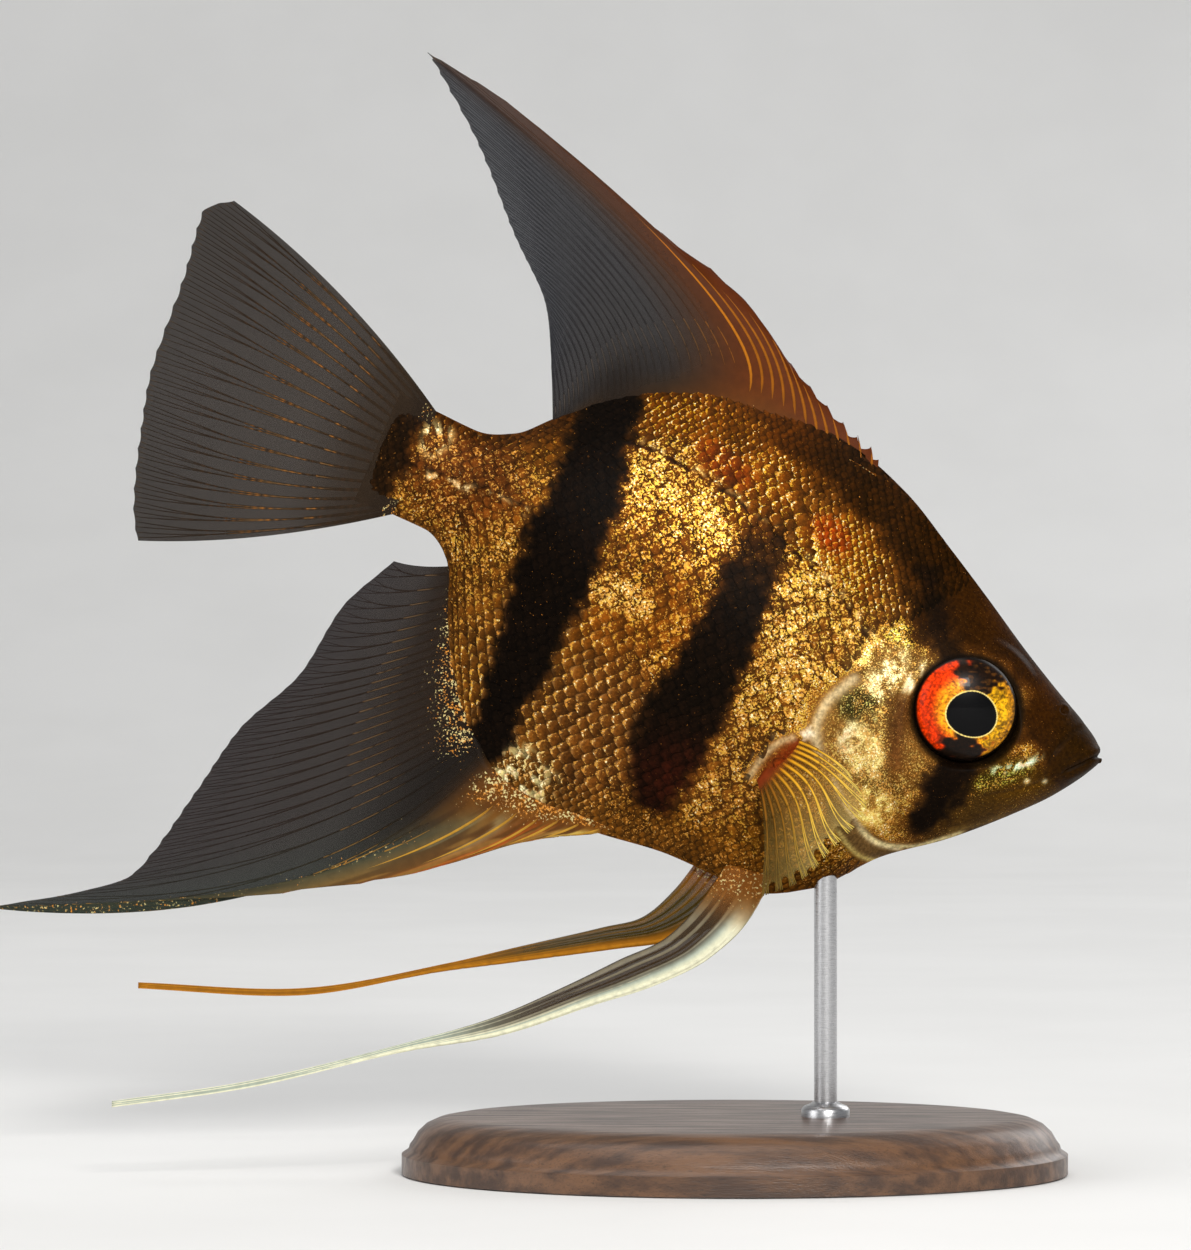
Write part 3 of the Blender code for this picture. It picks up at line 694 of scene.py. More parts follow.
GLINTS = ((59.8, -4.7), (61.3, -4.1), (60.0, -0.9))  # painted highlights on the wet snout


def lay_ovals(coat, x, z, ovals, strength):
    """Lays soft ovals over the coat, each as strong as the given share."""
    for centre, reach, lean, net, speck, share in ovals:
        lay(coat, strength * oval(x, z, centre, reach, lean), net, speck, share)


def paint_face(coat, x, z):
    """The pearly gill covers, the brown cheeks and the bright streak before the eye."""
    gap = gap_to(GILL_EDGE, x, z)
    cover = smooth(-0.2, 0.9, gap) * smooth(3.4, 1.0, z) * smooth(56.0, 50.0, x - 0.5 * (z + 6.0))
    lay(coat, cover, (108, 72, 28), (208, 172, 84), 0.57)
    torn = soft_noise(x + 0.4 * z, z, 0.9, 21) * 0.6 + soft_noise(x, z, 0.35, 22) * 0.4
    # Pearly foil, partly painted highlight, and dark patches on the gill cover.
    lay_ovals(coat, x, z, PEARLS, 0.14 + 0.86 * smooth(0.36, 0.56, torn))
    stripe = along_line(CHEEK_STRIPE, x, z, 0.85, 0.2)
    lay(coat, cover * stripe, (100, 60, 24), (190, 146, 74), 0.38)
    muzzle = smooth(53.6, 57.0, x) * smooth(-2.0, -4.0, z)
    lay(coat, 0.85 * muzzle, (58, 38, 3), (176, 142, 46), 0.26)
    jaw = oval(x, z, (55.6, -10.2), (4.2, 2.6), 38.0)
    lay(coat, 0.8 * jaw, (60, 40, 10), (166, 130, 56), 0.28)
    below = oval(x, z, (57.4, -5.3), (2.8, 0.9), 40.0)
    lay(coat, 0.9 * below, (62, 46, 5), (190, 188, 70), 0.55)
    streak = along_line(STREAK, x, z, 0.34, 0.2)
    broken = smooth(0.30, 0.50, soft_noise(x, z, 0.36, 23))
    lay(coat, streak * broken, (190, 222, 176), (240, 255, 236), 0.9)
    throat = gap_to(THROAT_FOLD, x, z)
    membrane = smooth(0.0, 0.4, throat) * smooth(0.1, -0.3, gap) * (x > 43.0) * (z < -8.0)
    lay(coat, membrane, (88, 64, 32), (160, 128, 72), 0.12)
    # Painted highlights on the wet snout.
    for place in GLINTS:
        lay(coat, hump(distance(x, z, place), 0.0, 0.22), (236, 240, 206), None, 0.9)


def bar_mask(x, z):
    """How much of each place the dark bars cover."""
    ragged = 0.9 * (soft_noise(x, z, 1.3, 5) - 0.5) + 0.8 * (soft_noise(x, z, 0.5, 6) - 0.5)
    cover = np.zeros(np.shape(x))
    for line, widths, strength, fade in BARS:
        gap, along = to_line(line, x, z)
        width = np.interp(along, np.linspace(0.0, 1.0, len(widths)), widths)
        mask = smooth(0.75, -0.75, abs(gap) - width + ragged)
        mask *= smooth(-0.02, fade, along + 0.25 * (soft_noise(x, z, 0.9, 7) - 0.5) * fade)
        cover = np.maximum(cover, strength * mask)
    return cover


def paint_lateral_line(coat, x, z):
    """Dark dashes along the lateral line, and glints beside them."""
    for line, bright in ((LATERAL_FRONT, 0.4), (LATERAL_REAR, 0.7)):
        gap = gap_to(line, x, z)
        broken = smooth(0.34, 0.58, soft_noise(1.3 * x, z, 0.8, 25))
        lay(coat, 0.85 * broken * hump(gap, 0.0, 0.20), (36, 17, 4), None, 0.1)
        glints = smooth(0.58, 0.72, soft_noise(x, z, 0.5, 26)) * hump(gap, -0.42, 0.34)
        lay(coat, bright * glints, (232, 204, 138), (255, 248, 210), 1.0)


def paint_dark_skin(coat, x, z, down):
    """The dark nape and crown, the back of the tail stalk and the snout."""
    crown = gap_to(CROWN_EDGE, x, z)
    bare = smooth(-0.9, 1.3, crown + 1.6 * (soft_noise(x, z, 1.1, 14) - 0.5)) * smooth(20.0, 30.0, x)
    lay(coat, bare, blend(smooth(36.0, 27.0, x), (46, 23, 2), (78, 37, 2)), (124, 70, 8), 0.16)
    lay(coat, smooth(0.16, 0.02, down) * smooth(17.0, 12.0, x), (66, 34, 5), (150, 96, 26), 0.3)
    lay(coat, smooth(59.0, 62.5, x) * smooth(-5.0, -3.0, z), (38, 21, 2), (112, 74, 20), 0.12)


def paint(x, z, down):
    """The coat at places on the body: its net colour, its speck colour and its share of specks."""
    flat = np.ones((*np.shape(x), 1))
    coat = [flat * colour((106, 60, 12)), flat * colour((196, 150, 50)), flat * 0.64]
    lay(coat, smooth(0.30, 0.10, down), (92, 50, 8), (196, 134, 36), 0.42)
    lay_ovals(coat, x, z, PATCHES, 0.9)
    lay(coat, smooth(0.90, 1.0, down), (98, 58, 14), (176, 124, 58), 0.35)
    flakes = smooth(0.47, 0.58, soft_noise(x + 0.5 * z, z, 0.6, 24))
    foil = oval(x, z, (18.8, -21.8), (3.4, 2.8)) + 0.8 * oval(x, z, (1.0, 3.4), (1.3, 2.2))
    lay(coat, flakes * foil, (228, 208, 136), (255, 250, 206), 0.9)
    paint_lateral_line(coat, x, z)
    lay(coat, 0.6 * smooth(0.07, 0.0, down) * smooth(36.0, 30.0, x), (72, 36, 4), (150, 92, 20), 0.3)
    paint_face(coat, x, z)
    paint_dark_skin(coat, x, z, down)
    for line, reach, tone, strength, share in STROKES:
        lay(coat, strength * along_line(line, x, z, reach, 0.1), tone, None, share)
    lay(coat, 0.92 * smooth(0.80, 0.15, eye_gap(x, z)), (18, 12, 5), (60, 40, 12), 0.02)
    rusty = hump(distance(x, z, (31.2, -16.6)), 0.0, 3.6)
    lay(coat, bar_mask(x, z), blend(rusty, (14, 7, 3), (44, 14, 5)), (90, 50, 18), 0.06)
    coat[0] *= (0.84 + 0.32 * soft_noise(x, z, 2.2, 11))[..., None]
    coat[2] *= (0.78 + 0.44 * soft_noise(x, z, 1.6, 12))[..., None]
    return coat


def dress(piece, coat):
    """Keeps the coat's layers on a piece, for its material."""
    net, speck, glint = coat
    set_colour(piece, "net", net)
    set_colour(piece, "speck", speck)
    set_value(piece, "glint", np.clip(glint[..., 0], 0.0, 1.0))


# -------- skin and scale materials

SPARK_SIZE = 0.00017
WARM_SPECK = (0.62, 0.24, 0.035, 1.0)
PALE_SPECK = (1.0, 0.90, 0.50, 1.0)


def fish_coat(name, roughness, bump_height, speck_size):
    """Brown net, golden specks where the glint says, and pale sparks in the thickest of them."""
    nodes = Nodes(name)
    clump = nodes.between(nodes.noise(0.0008, 3.0), 0.36, 0.62, 0.84, 1.12)
    share = nodes.maths("MULTIPLY", nodes.attribute("glint", "Fac"), clump)
    speck = nodes.flecks(speck_size, 2.5, 0.72, share, 0.68, 0.40, 0.07)
    fine = nodes.flecks(SPARK_SIZE, 2.0, 0.6, share, 0.84, 0.54, 0.06)
    spark = nodes.maths("MULTIPLY", fine, speck)
    warmth = nodes.between(nodes.noise(0.0005, 3.0), 0.38, 0.64, 0.0, 0.72)
    gold = nodes.mix(warmth, nodes.attribute("speck"), WARM_SPECK)
    grain = nodes.between(nodes.noise(0.0003, 4.0), 0.3, 0.7, 0.62, 1.26)
    net = nodes.darkened(nodes.attribute("net"), grain)
    tone = nodes.mix(spark, nodes.mix(speck, net, gold), PALE_SPECK)
    gloss = nodes.between(speck, 0.0, 1.0, roughness, 0.34)
    relief = nodes.maths("ADD", nodes.noise(0.00022, 2.0), nodes.maths("MULTIPLY", speck, 0.6))
    nodes.bump(relief, bump_height)
    metal = nodes.between(speck, 0.0, 1.0, 0.0, 0.16)
    return nodes.set(Base_Color=tone, Roughness=gloss, Metallic=metal, Specular_IOR_Level=0.025)


SKIN_LOOK = fish_coat("bare_skin", 0.46, 0.00003, 0.00014)
SCALE_LOOK = fish_coat("scale_horn", 0.48, 0.00002, 0.00021)


# -------- the skin

FLESH = (
    "head", "upper_jaw", "lower_jaw", "gill_cover_left", "gill_cover_right", "trunk", "tail_stalk",
)


def make_skin():
    """One closed skin, unwrapped along the body and round it from a seam on the back."""
    faces = grid_faces(RINGS, AROUND, wrap=True)
    half = AROUND // 2
    k = np.arange(1, half - 1)
    cap = np.stack([k, k + 1, AROUND - k - 1, AROUND - k], axis=-1)
    last = (RINGS - 1) * AROUND
    skin = mesh_object("skin", SKIN_POINTS, np.vstack([faces[:, ::-1], cap, cap[:, ::-1] + last]))
    dress(skin, paint(SKIN_POINTS[..., 0], SKIN_POINTS[..., 2], SKIN_DOWN))
    index = corners_of(skin)
    u, v = (index // AROUND) / (RINGS - 1.0), (index % AROUND) / AROUND
    seam = (v.reshape(-1, 4).min(1) == 0.0) & (v.reshape(-1, 4).max(1) > 0.9)
    v = np.where(np.repeat(seam, 4) & (v == 0.0), 1.0, v)
    set_unwrap(skin, np.column_stack([u, v]))
    return finish_piece(skin, SKIN_LOOK, "head_skin", *FLESH)


make_skin()


# -------- the scales

FLANK_SCALE = (1.17, 0.92)  # distance along a row, and between rows
SMALL_SCALE = (0.74, 0.58)
SCALE_ROWS = 40  # rows of scales above and below the middle row, at most
MIDDLE_ROW = ((0.0, 20.0, 41.0, 65.0), (0.0, -1.0, -3.0, -0.5))  # its x and z
KEEL_MARGIN = 0.30  # between the outermost rows and the keels
ROOT_DISORDER = 0.16
PLATE_ALONG = np.array((0.0, 0.44, 0.57, 0.69, 0.79, 0.89, 1.0))
PLATE_ACROSS = np.array((-1.0, -0.62, -0.28, 0.0, 0.28, 0.62, 1.0))
PLATE_BORDER = grid_border(len(PLATE_ALONG), len(PLATE_ACROSS))
PLATE_LENGTH = 1.95  # by the distance along a row
PLATE_LEAD = 0.45  # how far its root lies ahead of its place, by the same
PLATE_WIDTH = 0.98  # half of it, by the distance between rows
PLATE_SKIRT = 0.06  # how far a plate's side reaches down
# Painted shade on each plate's skirt, the side that reaches down into the skin.
SKIRT_PAINTED_SHADE = 0.7
PLATE_ANGLE = math.radians(40.0)  # edges sharper than this show as edges
PATCH = 0.003  # a scale's size on the unwrap


def girth_levels():
    """How far down the right side each skin point lies from the middle row of scales."""
    side = SKIN_POINTS[:, : SKIN_HALF + 1]
    run = np.linalg.norm(np.diff(side, axis=1), axis=-1)
    girth = np.concatenate([np.zeros((RINGS, 1)), np.cumsum(run, axis=1)], axis=1)
    line_z = np.interp(side[:, SKIN_HALF // 2, 0], *MIDDLE_ROW)
    zero = [np.interp(-line_z[i], -side[i, :, 2], girth[i]) for i in range(RINGS)]
    return girth - np.array(zero)[:, None]


GIRTH = girth_levels()
GIRTH_STEPS = np.arange(SKIN_HALF + 1.0)
RING_STEPS = np.arange(RINGS)
RING_X = (SKIN_POINTS[:, 0, 0] + SKIN_POINTS[:, SKIN_HALF, 0]) / 2.0
PHASE_RING = int(np.searchsorted(RING_X, 20.0))  # where neighbouring rows are in step


def scale_row(level, step, phase):
    """Roots of one row of scales, as ring, place round the ring and stretch along the body."""
    around = np.array([np.interp(level, GIRTH[i], GIRTH_STEPS) for i in range(RINGS)])
    path = on_skin(RING_STEPS, around)
    run = np.concatenate([[0.0], np.cumsum(np.linalg.norm(np.diff(path, axis=0), axis=1))])
    count = (run - run[PHASE_RING]) / step + phase
    wanted = np.arange(math.ceil(count[0]), math.floor(count[-1]) + 1.0)
    ring = np.interp(wanted, count, RING_STEPS)
    stretch = np.interp(ring, RING_STEPS, np.gradient(RING_X) / np.maximum(np.gradient(run), 1e-6))
    inside = (GIRTH[:, 0] < level - KEEL_MARGIN) & (GIRTH[:, -1] > level + KEEL_MARGIN)
    held = inside[np.round(ring).astype(int)]
    return np.column_stack([ring, np.interp(ring, RING_STEPS, around), stretch])[held]


def flank(x, z, down):
    """Where the scales are large."""
    edges = smooth(0.10, 0.16, down) * smooth(0.93, 0.87, down) * smooth(2.5, 4.0, x)
    nape = np.maximum(smooth(40.5, 37.5, x + 0.5 * z), smooth(4.0, 2.0, z))
    return edges * smooth(0.4, -0.4, gap_to(GILL_EDGE, x, z)) * nape > 0.5


def scaled(x, z):
    """Where the skin shows scales: up to the gill covers, and over the nape and breast."""
    gap, along = to_line(GILL_EDGE, x, z)
    throat = (abs(gap_to(THROAT_FOLD, x, z) - 1.3) < 1.9) & (x > 42.5) & (z < -10.5)
    fin_root = abs(gap_to(PECTORAL_ROOT, x, z) + 0.2) < 1.15
    behind = gap < np.where(along > 0.3, -0.95, -0.3)
    return (behind & ~throat & ~fin_root) | ((gap_to(FACE_EDGE, x, z) > 0.0) & (z > 3.7))


def scale_roots(size, large, seed):
    """Every root of one kind of scale on one side, with a little disorder."""
    step, gap = size
    rows = [scale_row(k * gap, step, 0.5 * (k % 2)) for k in range(-SCALE_ROWS, SCALE_ROWS + 1)]
    roots = np.vstack([row for row in rows if len(row)])
    roots[:, :2] += np.random.default_rng(seed).normal(0.0, ROOT_DISORDER, (len(roots), 2))
    x, _, z = on_skin(roots[:, 0], roots[:, 1]).T
    down = on_skin(roots[:, 0], roots[:, 1], SKIN_DOWN)[:, 0]
    return roots[(flank(x, z, down) == large) & scaled(x, z)]


def plates(roots, size, rise, seed):
    """Thin overlapping plates over the skin, rooted towards the head and free towards the tail."""
    random = np.random.default_rng(seed)
    count = len(roots)
    scale = random.normal(1.0, 0.06, (count, 1, 1))
    lean = random.normal(0.0, 0.07, (count, 1, 1))
    u = PLATE_ALONG[None, :, None]
    w = PLATE_ACROSS[None, None, :]
    back = size[0] * scale * (PLATE_LENGTH * u * (1.0 - 0.24 * w**2) - PLATE_LEAD)
    round_end = np.sqrt(1.0 - (np.maximum(u - 0.4, 0.0) / 0.75) ** 2)
    across = size[1] * scale * w * PLATE_WIDTH * round_end + lean * back
    ring, around, stretch = (roots[:, k, None, None] for k in range(3))
    place = np.interp(ring, RING_STEPS, RING_X) - back * stretch
    rings = np.interp(place, RING_X, RING_STEPS)
    pace = np.linalg.norm(on_skin(ring, around + 0.5) - on_skin(ring, around - 0.5), axis=-1)
    arounds = around + across / np.maximum(pace, 0.05)
    level = rise * u**1.2 - 0.004 - 0.045 * smooth(0.4, 0.0, u) - 0.020 * w**2
    level = level + random.normal(0.0, 0.006, (count, 1, 1))
    top = on_skin(rings, arounds)
    normals = unit_vectors(on_skin(rings, arounds, SKIN_NORMALS))
    down = on_skin(rings, arounds, SKIN_DOWN)[..., 0]
    points = top + normals * level[..., None]
    points, normals = points.reshape(count, -1, 3), normals.reshape(count, -1, 3)
    skirt = points[:, PLATE_BORDER] - normals[:, PLATE_BORDER] * PLATE_SKIRT
    return np.concatenate([points, skirt], axis=1), np.stack(np.broadcast_arrays(u, w), -1), down


def plate_faces():
    """Faces of one plate: its top, its sides and its underside."""
    rows, columns = len(PLATE_ALONG), len(PLATE_ACROSS)
    around = len(PLATE_BORDER)
    skirt = np.arange(around) + rows * columns
    after = np.roll(np.arange(around), -1)
    walls = np.stack([PLATE_BORDER, PLATE_BORDER[after], skirt[after], skirt], axis=-1)
    k = np.arange(1, around // 2)
    under = np.stack([skirt[k], skirt[k + 1], skirt[around - k - 1], skirt[around - k]], axis=-1)
    return np.vstack([grid_faces(rows, columns)[:, ::-1], walls[:, ::-1], under[:-1, ::-1]])


def speckle_plates(points, plate_uv, down, seed):
    """The coat on the scales: ringed or crescent specks, a dark edge, painted shade at the root, painted
    rim highlights.
    """
    random = np.random.default_rng(seed)
    count = len(points)
    top = points[:, : len(PLATE_ALONG) * len(PLATE_ACROSS)]
    x, z = top[..., 0], top[..., 2]
    net, speck, glint = paint(x, z, down.reshape(count, -1))
    u = plate_uv[..., 0].reshape(1, -1)
    w = plate_uv[..., 1].reshape(1, -1)
    turn = random.uniform(-0.25, 0.25, (count, 1))
    ring = hump(np.hypot((u - 0.745) / 0.26, (w - turn) / 0.66), 0.62, 0.36)
    rear = hump(u, 0.90, 0.085) * (1.0 - 0.7 * w**2)
    rim_highlight_zone = np.maximum(oval(x, z, (16.5, -14.0), (7.5, 9.5), -8.0), oval(x, z, (22.4, -16.0), (5.4, 8.0)))
    back = down.reshape(count, -1) + 0.13 * smooth(28.0, 22.0, x)
    streaky = np.maximum(rim_highlight_zone, smooth(0.34, 0.22, back))
    pattern = (0.70 + 0.42 * ring) * (1.0 - streaky) + (0.34 + 1.3 * rear) * streaky
    glint[..., 0] *= pattern * random.uniform(0.86, 1.14, (count, 1))
    edge = 1.0 - 0.5 * smooth(0.90, 1.0, u) - 0.30 * abs(w) ** 3
    # Painted shade towards the root, where the plate ahead overlaps this one.
    edge *= 1.0 - 0.35 * smooth(0.66, 0.50, u)
    net *= (edge * random.uniform(0.84, 1.14, (count, 1)))[..., None]
    # Painted highlight: cream rear rims on the scales low on the flank.
    lay([net], 0.40 * rim_highlight_zone * rear * smooth(0.12, 0.30, net[..., 0]), (206, 156, 98))
    rim = 1.0 - (0.45 * smooth(0.86, 1.0, u) + 0.32 * smooth(0.6, 1.0, abs(w))) * (1.0 - 0.8 * rim_highlight_zone)
    speck *= rim[..., None]
    glint *= (0.3 + 0.7 * rim)[..., None]
    layers = (net, speck, glint)
    # Each plate's skirt takes the plate's colours, darkened as painted shade.
    return [np.concatenate([layer, layer[:, PLATE_BORDER] * SKIRT_PAINTED_SHADE], axis=1) for layer in layers]


def make_scales(name, size, large, rise, side, seed):
    """All the large or small scales of one side, each unwrapped round its root's place on the skin."""
    roots = scale_roots(size, large, seed)
    points, plate_uv, down = plates(roots, size, rise, seed + 1)
    count, each = points.shape[:2]
    points[..., 1] *= -SIDES[side]
    every = (plate_faces()[None] + np.arange(count)[:, None, None] * each).reshape(-1, 4)
    piece = mesh_object(name, points, every if side == "right" else every[:, ::-1])
    piece.data.set_sharp_from_angle(angle=PLATE_ANGLE)
    dress(piece, speckle_plates(points, plate_uv[0:1], down, seed + 2))
    local = plate_uv.reshape(-1, 2) * (1.0, 0.5) - (0.5, 0.0)
    local = np.vstack([local, local[PLATE_BORDER] * 1.04]) * PATCH
    v = roots[:, 1] / AROUND
    root = np.column_stack([roots[:, 0] / (RINGS - 1.0), v if side == "right" else 1.0 - v])
    set_unwrap(piece, (root[:, None] + local[None]).reshape(-1, 2)[corners_of(piece)])
    return finish_piece(piece, SCALE_LOOK, "scaled_skin")


for SIDE, SIGN in SIDES.items():
    make_scales(f"flank_scales_{SIDE}", FLANK_SCALE, True, 0.11, SIDE, 100 + int(SIGN))
    make_scales(f"small_scales_{SIDE}", SMALL_SCALE, False, 0.07, SIDE, 200 + int(SIGN))


# -------- the eyes

PUPIL = (0.46, -0.20)  # its centre, from the eye's
PUPIL_REACH = (2.12, 1.86)
PUPIL_LEAN = math.radians(8.0)


def sector(clock, start, end, soft=12.0):
    """A soft sector of the iris, between two places on a clock face in degrees."""
    middle, half = (start + end) / 2.0, (end - start) / 2.0
    away = abs((clock - middle + 180.0) % 360.0 - 180.0)
    return smooth(half + soft, half - soft, away)


def eye_paint(u, v):
    """Iris colours from places on the eye's disc, u forwards and v up."""
    level_u, level_v = rotated(NOSE_DOWN, u, v)
    radius = np.hypot(u, v) / EYE_RADIUS
    wisp = soft_noise(level_u * 1.2, level_v * 2.4, 0.80, 30) - 0.5
    clock = (np.degrees(np.arctan2(level_u, level_v)) + 34.0 * wisp) % 360.0
    iris = [np.ones((*u.shape, 1)) * colour((206, 50, 4))]
    lay(iris, smooth(0.74, 0.50, radius), (238, 146, 24))
    lay(iris, sector(clock, 50.0, 158.0, 10.0), (212, 154, 18))
    lay(iris, sector(clock, 50.0, 158.0) * smooth(0.72, 0.9, radius), (176, 116, 22))
    lay(iris, sector(clock, 352.0, 415.0, 8.0), (24, 12, 4))
    lay(iris, sector(clock, 160.0, 214.0, 8.0), (22, 13, 7))
    fibre = smooth(0.58, 0.72, soft_noise(clock * 0.045, radius * 1.2, 0.20, 31))
    lay(iris, 0.45 * fibre * sector(clock, 330.0, 530.0, 20.0), (30, 16, 6))
    glow = smooth(0.58, 0.72, soft_noise(level_u * 0.8, level_v * 2.4, 0.42, 33))
    lay(iris, 0.34 * glow * sector(clock, 365.0, 415.0, 20.0), (150, 92, 26))
    iris[0] *= (1.0 + 0.7 * (soft_noise(u, v, 0.15, 32) - 0.5))[..., None]
    lay(iris, smooth(0.925, 0.965, radius), (16, 10, 6))
    along, across = rotated(PUPIL_LEAN, u - PUPIL[0], v - PUPIL[1])
    egg = np.hypot(along / (PUPIL_REACH[0] * (1.0 - 0.04 * across)), across / PUPIL_REACH[1])
    lay(iris, smooth(1.11, 1.08, egg), (246, 220, 130))
    lay(iris, smooth(1.055, 1.035, egg), (3, 3, 4))
    return iris[0]


def eye_material():
    nodes = Nodes("wet_eye")
    shade = nodes.between(nodes.noise(0.00012, 2.0), 0.35, 0.65, 0.82, 1.18)
    tone = nodes.darkened(nodes.attribute("net"), shade)
    nodes.bump(nodes.noise(0.0016, 1.0), 0.00001, 0.5)
    nodes.set(Specular_IOR_Level=0.08, Coat_Weight=0.06, Coat_Roughness=0.04)
    return nodes.set(Base_Color=tone, Roughness=0.34)


def make_eye(side, look, rings=110, back_rings=14, spokes=240):
    """A bulging front, the painted iris, and a round back inside the head."""
    front = np.linspace(0.01, math.pi / 2.0, rings, endpoint=False)
    turn = np.concatenate([front, np.linspace(math.pi / 2.0, math.pi - 0.05, back_rings)])[:, None]
    spoke = np.arange(spokes)[None, :] * 2.0 * math.pi / spokes
    u = EYE_RADIUS * np.sin(turn) * np.cos(spoke)
    v = EYE_RADIUS * np.sin(turn) * np.sin(spoke)
    forward, outward = rotated(EYE_TURN, u, EYE_BULGE * np.cos(turn))
    x = EYE_CENTRE[0] + EYE_SHIFT[0] + forward
    points = np.stack([x, SIDES[side] * (EYE_SIDE + outward), EYE_CENTRE[2] + EYE_SHIFT[1] + v], axis=-1)
    eye = mesh_object(f"eyeball_{side}", points, closed_rings(len(turn), spokes))
    set_colour(eye, "net", eye_paint(u, v))
    return finish_piece(eye, look, "eye", f"eye_{side}")


EYE_LOOK = eye_material()
for SIDE in SIDES:
    make_eye(SIDE, EYE_LOOK)


# -------- fin shapes

WEB_HALF = 0.07  # half the thickness of the thin skin between rays
JOINT = 0.75  # length of one segment of a soft ray
RAY_STEP = 0.32  # length between a ray's rings of points
BRANCH_WIDTHS = (1.0, 0.72, 0.576)  # of a soft ray, before and after each fork
SCALLOP = 0.006  # how far the web's edge dips between soft rays


def through_rays(rays, place):
    """Smooth curves across a fin through each part of its rays."""
    knots = [ray[0] for ray in rays]
    return [curve_through(knots, [ray[part] for ray in rays], place) for part in range(1, len(rays[0]))]


def bowed(parts, v):
    """Places along rays, each bowed through its root, its middle and its tip."""
    shares = ((2 * v - 1) * (v - 1), 4 * v * (1 - v), v * (2 * v - 1))
    return sum(share[..., None] * part for share, part in zip(shares, parts))


def upright(flat, side):
    """Places from their x and z, and how far to the side they lie."""
    return np.stack([flat[..., 0], side, flat[..., 1]], axis=-1)


class Bundle:
    """Points, faces and colours of many small shapes that become one piece."""

    def __init__(self):
        self.points, self.faces, self.colours, self.cover, self.glint = [], [], [], [], []
        self.count = 0

    def add(self, points, faces, shade, cover=1.0, glint=0.0):
        flat = points.reshape(-1, 3)
        self.points.append(flat)
        self.faces.extend([corner + self.count for corner in face] for face in faces)
        self.colours.append(np.broadcast_to(shade, points.shape).reshape(-1, 3))
        self.cover.append(np.broadcast_to(cover, points.shape[:-1]).ravel())
        self.glint.append(np.broadcast_to(glint, points.shape[:-1]).ravel())
        self.count += len(flat)

    def build(self, name, look, slot, *nodes):
        piece = mesh_object(name, np.vstack(self.points), self.faces)
        set_colour(piece, "net", np.vstack(self.colours))
        set_value(piece, "cover", np.concatenate(self.cover))
        set_value(piece, "glint", np.concatenate(self.glint))
        return finish_piece(piece, look, slot, *nodes)


def sheet(bundle, middle, half, shade, cover, glint):
    """A thin closed sheet either side of a grid of points."""
    normal = unit_vectors(np.cross(np.gradient(middle, axis=0), np.gradient(middle, axis=1)))
    rows, columns = middle.shape[:2]
    both = np.stack([middle + normal * half[..., None], middle - normal * half[..., None]])
    first = grid_faces(rows, columns)
    second = first[:, ::-1] + rows * columns
    border = grid_border(rows, columns)
    after = np.roll(border, -1)
    rim = np.stack([border, border + rows * columns, after + rows * columns, after], axis=-1)
    bundle.add(both, np.vstack([first, second, rim]).tolist(), shade, cover, glint)


def tube(bundle, path, radius, shade, sides=6, dark=0.0):
    """A round bar along a path, closed at both ends, with painted shade on its sides where it meets the
    web.
    """
    along = unit_vectors(np.gradient(path, axis=0))
    side = unit_vectors(np.cross(along, (0.0, 1.0, 0.0)))
    other = np.cross(side, along)
    turn = np.arange(sides)[:, None] * 2.0 * math.pi / sides
    ring = np.cos(turn) * side[:, None] + np.sin(turn) * other[:, None]
    points = path[:, None] + ring * radius[:, None, None]
    bundle.add(points, closed_rings(len(path), sides), shade[:, None] * (1.0 - dark * np.cos(turn) ** 2))


def path_length(path):
    return float(np.linalg.norm(np.diff(path, axis=0), axis=1).sum())


def soft_ray(bundle, place_at, place, spread, reach, radius, shade_at, forks, fan, sides=5, dark=0.0):
    """A jointed ray that forks twice on its way to the fin's edge."""
    length = path_length(place_at(np.full(12, place), np.linspace(0.0, reach, 12)))
    branches = [((), 0.0, forks[0])]
    branches += [((a,), forks[0], forks[1]) for a in (-1, 1)]
    branches += [((a, b), forks[1], 1.0) for a in (-1, 1) for b in (-1, 1)]
    for turns, low, high in branches:
        low, high = low * reach, high * reach
        count = max(5, int(length * (high - low) / RAY_STEP))
        v = np.linspace(low, high, count)
        share = v / reach
        offset = np.zeros(count)
        for k, turn in enumerate(turns):
            offset += turn * fan[k] * spread * smooth(forks[k], 1.05, share)
        path = place_at(np.clip(place + offset, 0.0, 1.0), v)
        joint = (v * length / JOINT) % 1.0
        width = radius * (1.0 - 0.72 * share) * BRANCH_WIDTHS[len(turns)]
        width = width * (1.0 - 0.22 * hump(joint, 0.0, 0.16)) + 0.015
        tube(bundle, path, width, shade_at(np.full(count, place), share, joint), sides, dark)


def spine(bundle, place_at, place, radius, shade_at):
    """A smooth, pointed spine."""
    v = np.linspace(0.0, 1.0, 26)
    places = np.full(len(v), place)
    tube(bundle, place_at(places, v), radius * (1.0 - 0.93 * v**1.3), shade_at(places, v), 7)


def fin_web(bundle, place_at, places, edge, root_half, paint_web, steps=56):
    """The thin skin of a fin, thick and fleshy at its root."""
    share = np.linspace(0.0, 1.0, steps)[None, :]
    place = np.broadcast_to(places[:, None], (len(places), steps))
    v = share * edge[:, None]
    half = WEB_HALF + (root_half - WEB_HALF) * (1.0 - v) ** 7
    half = half * (1.0 - 0.6 * smooth(0.92, 1.0, share))
    sheet(bundle, place_at(place, v), half, *paint_web(place, v))


# -------- fin materials

FIN_SPECK_SIZE = 0.00022
FIN_SPECK = (0.66, 0.55, 0.24, 1.0)


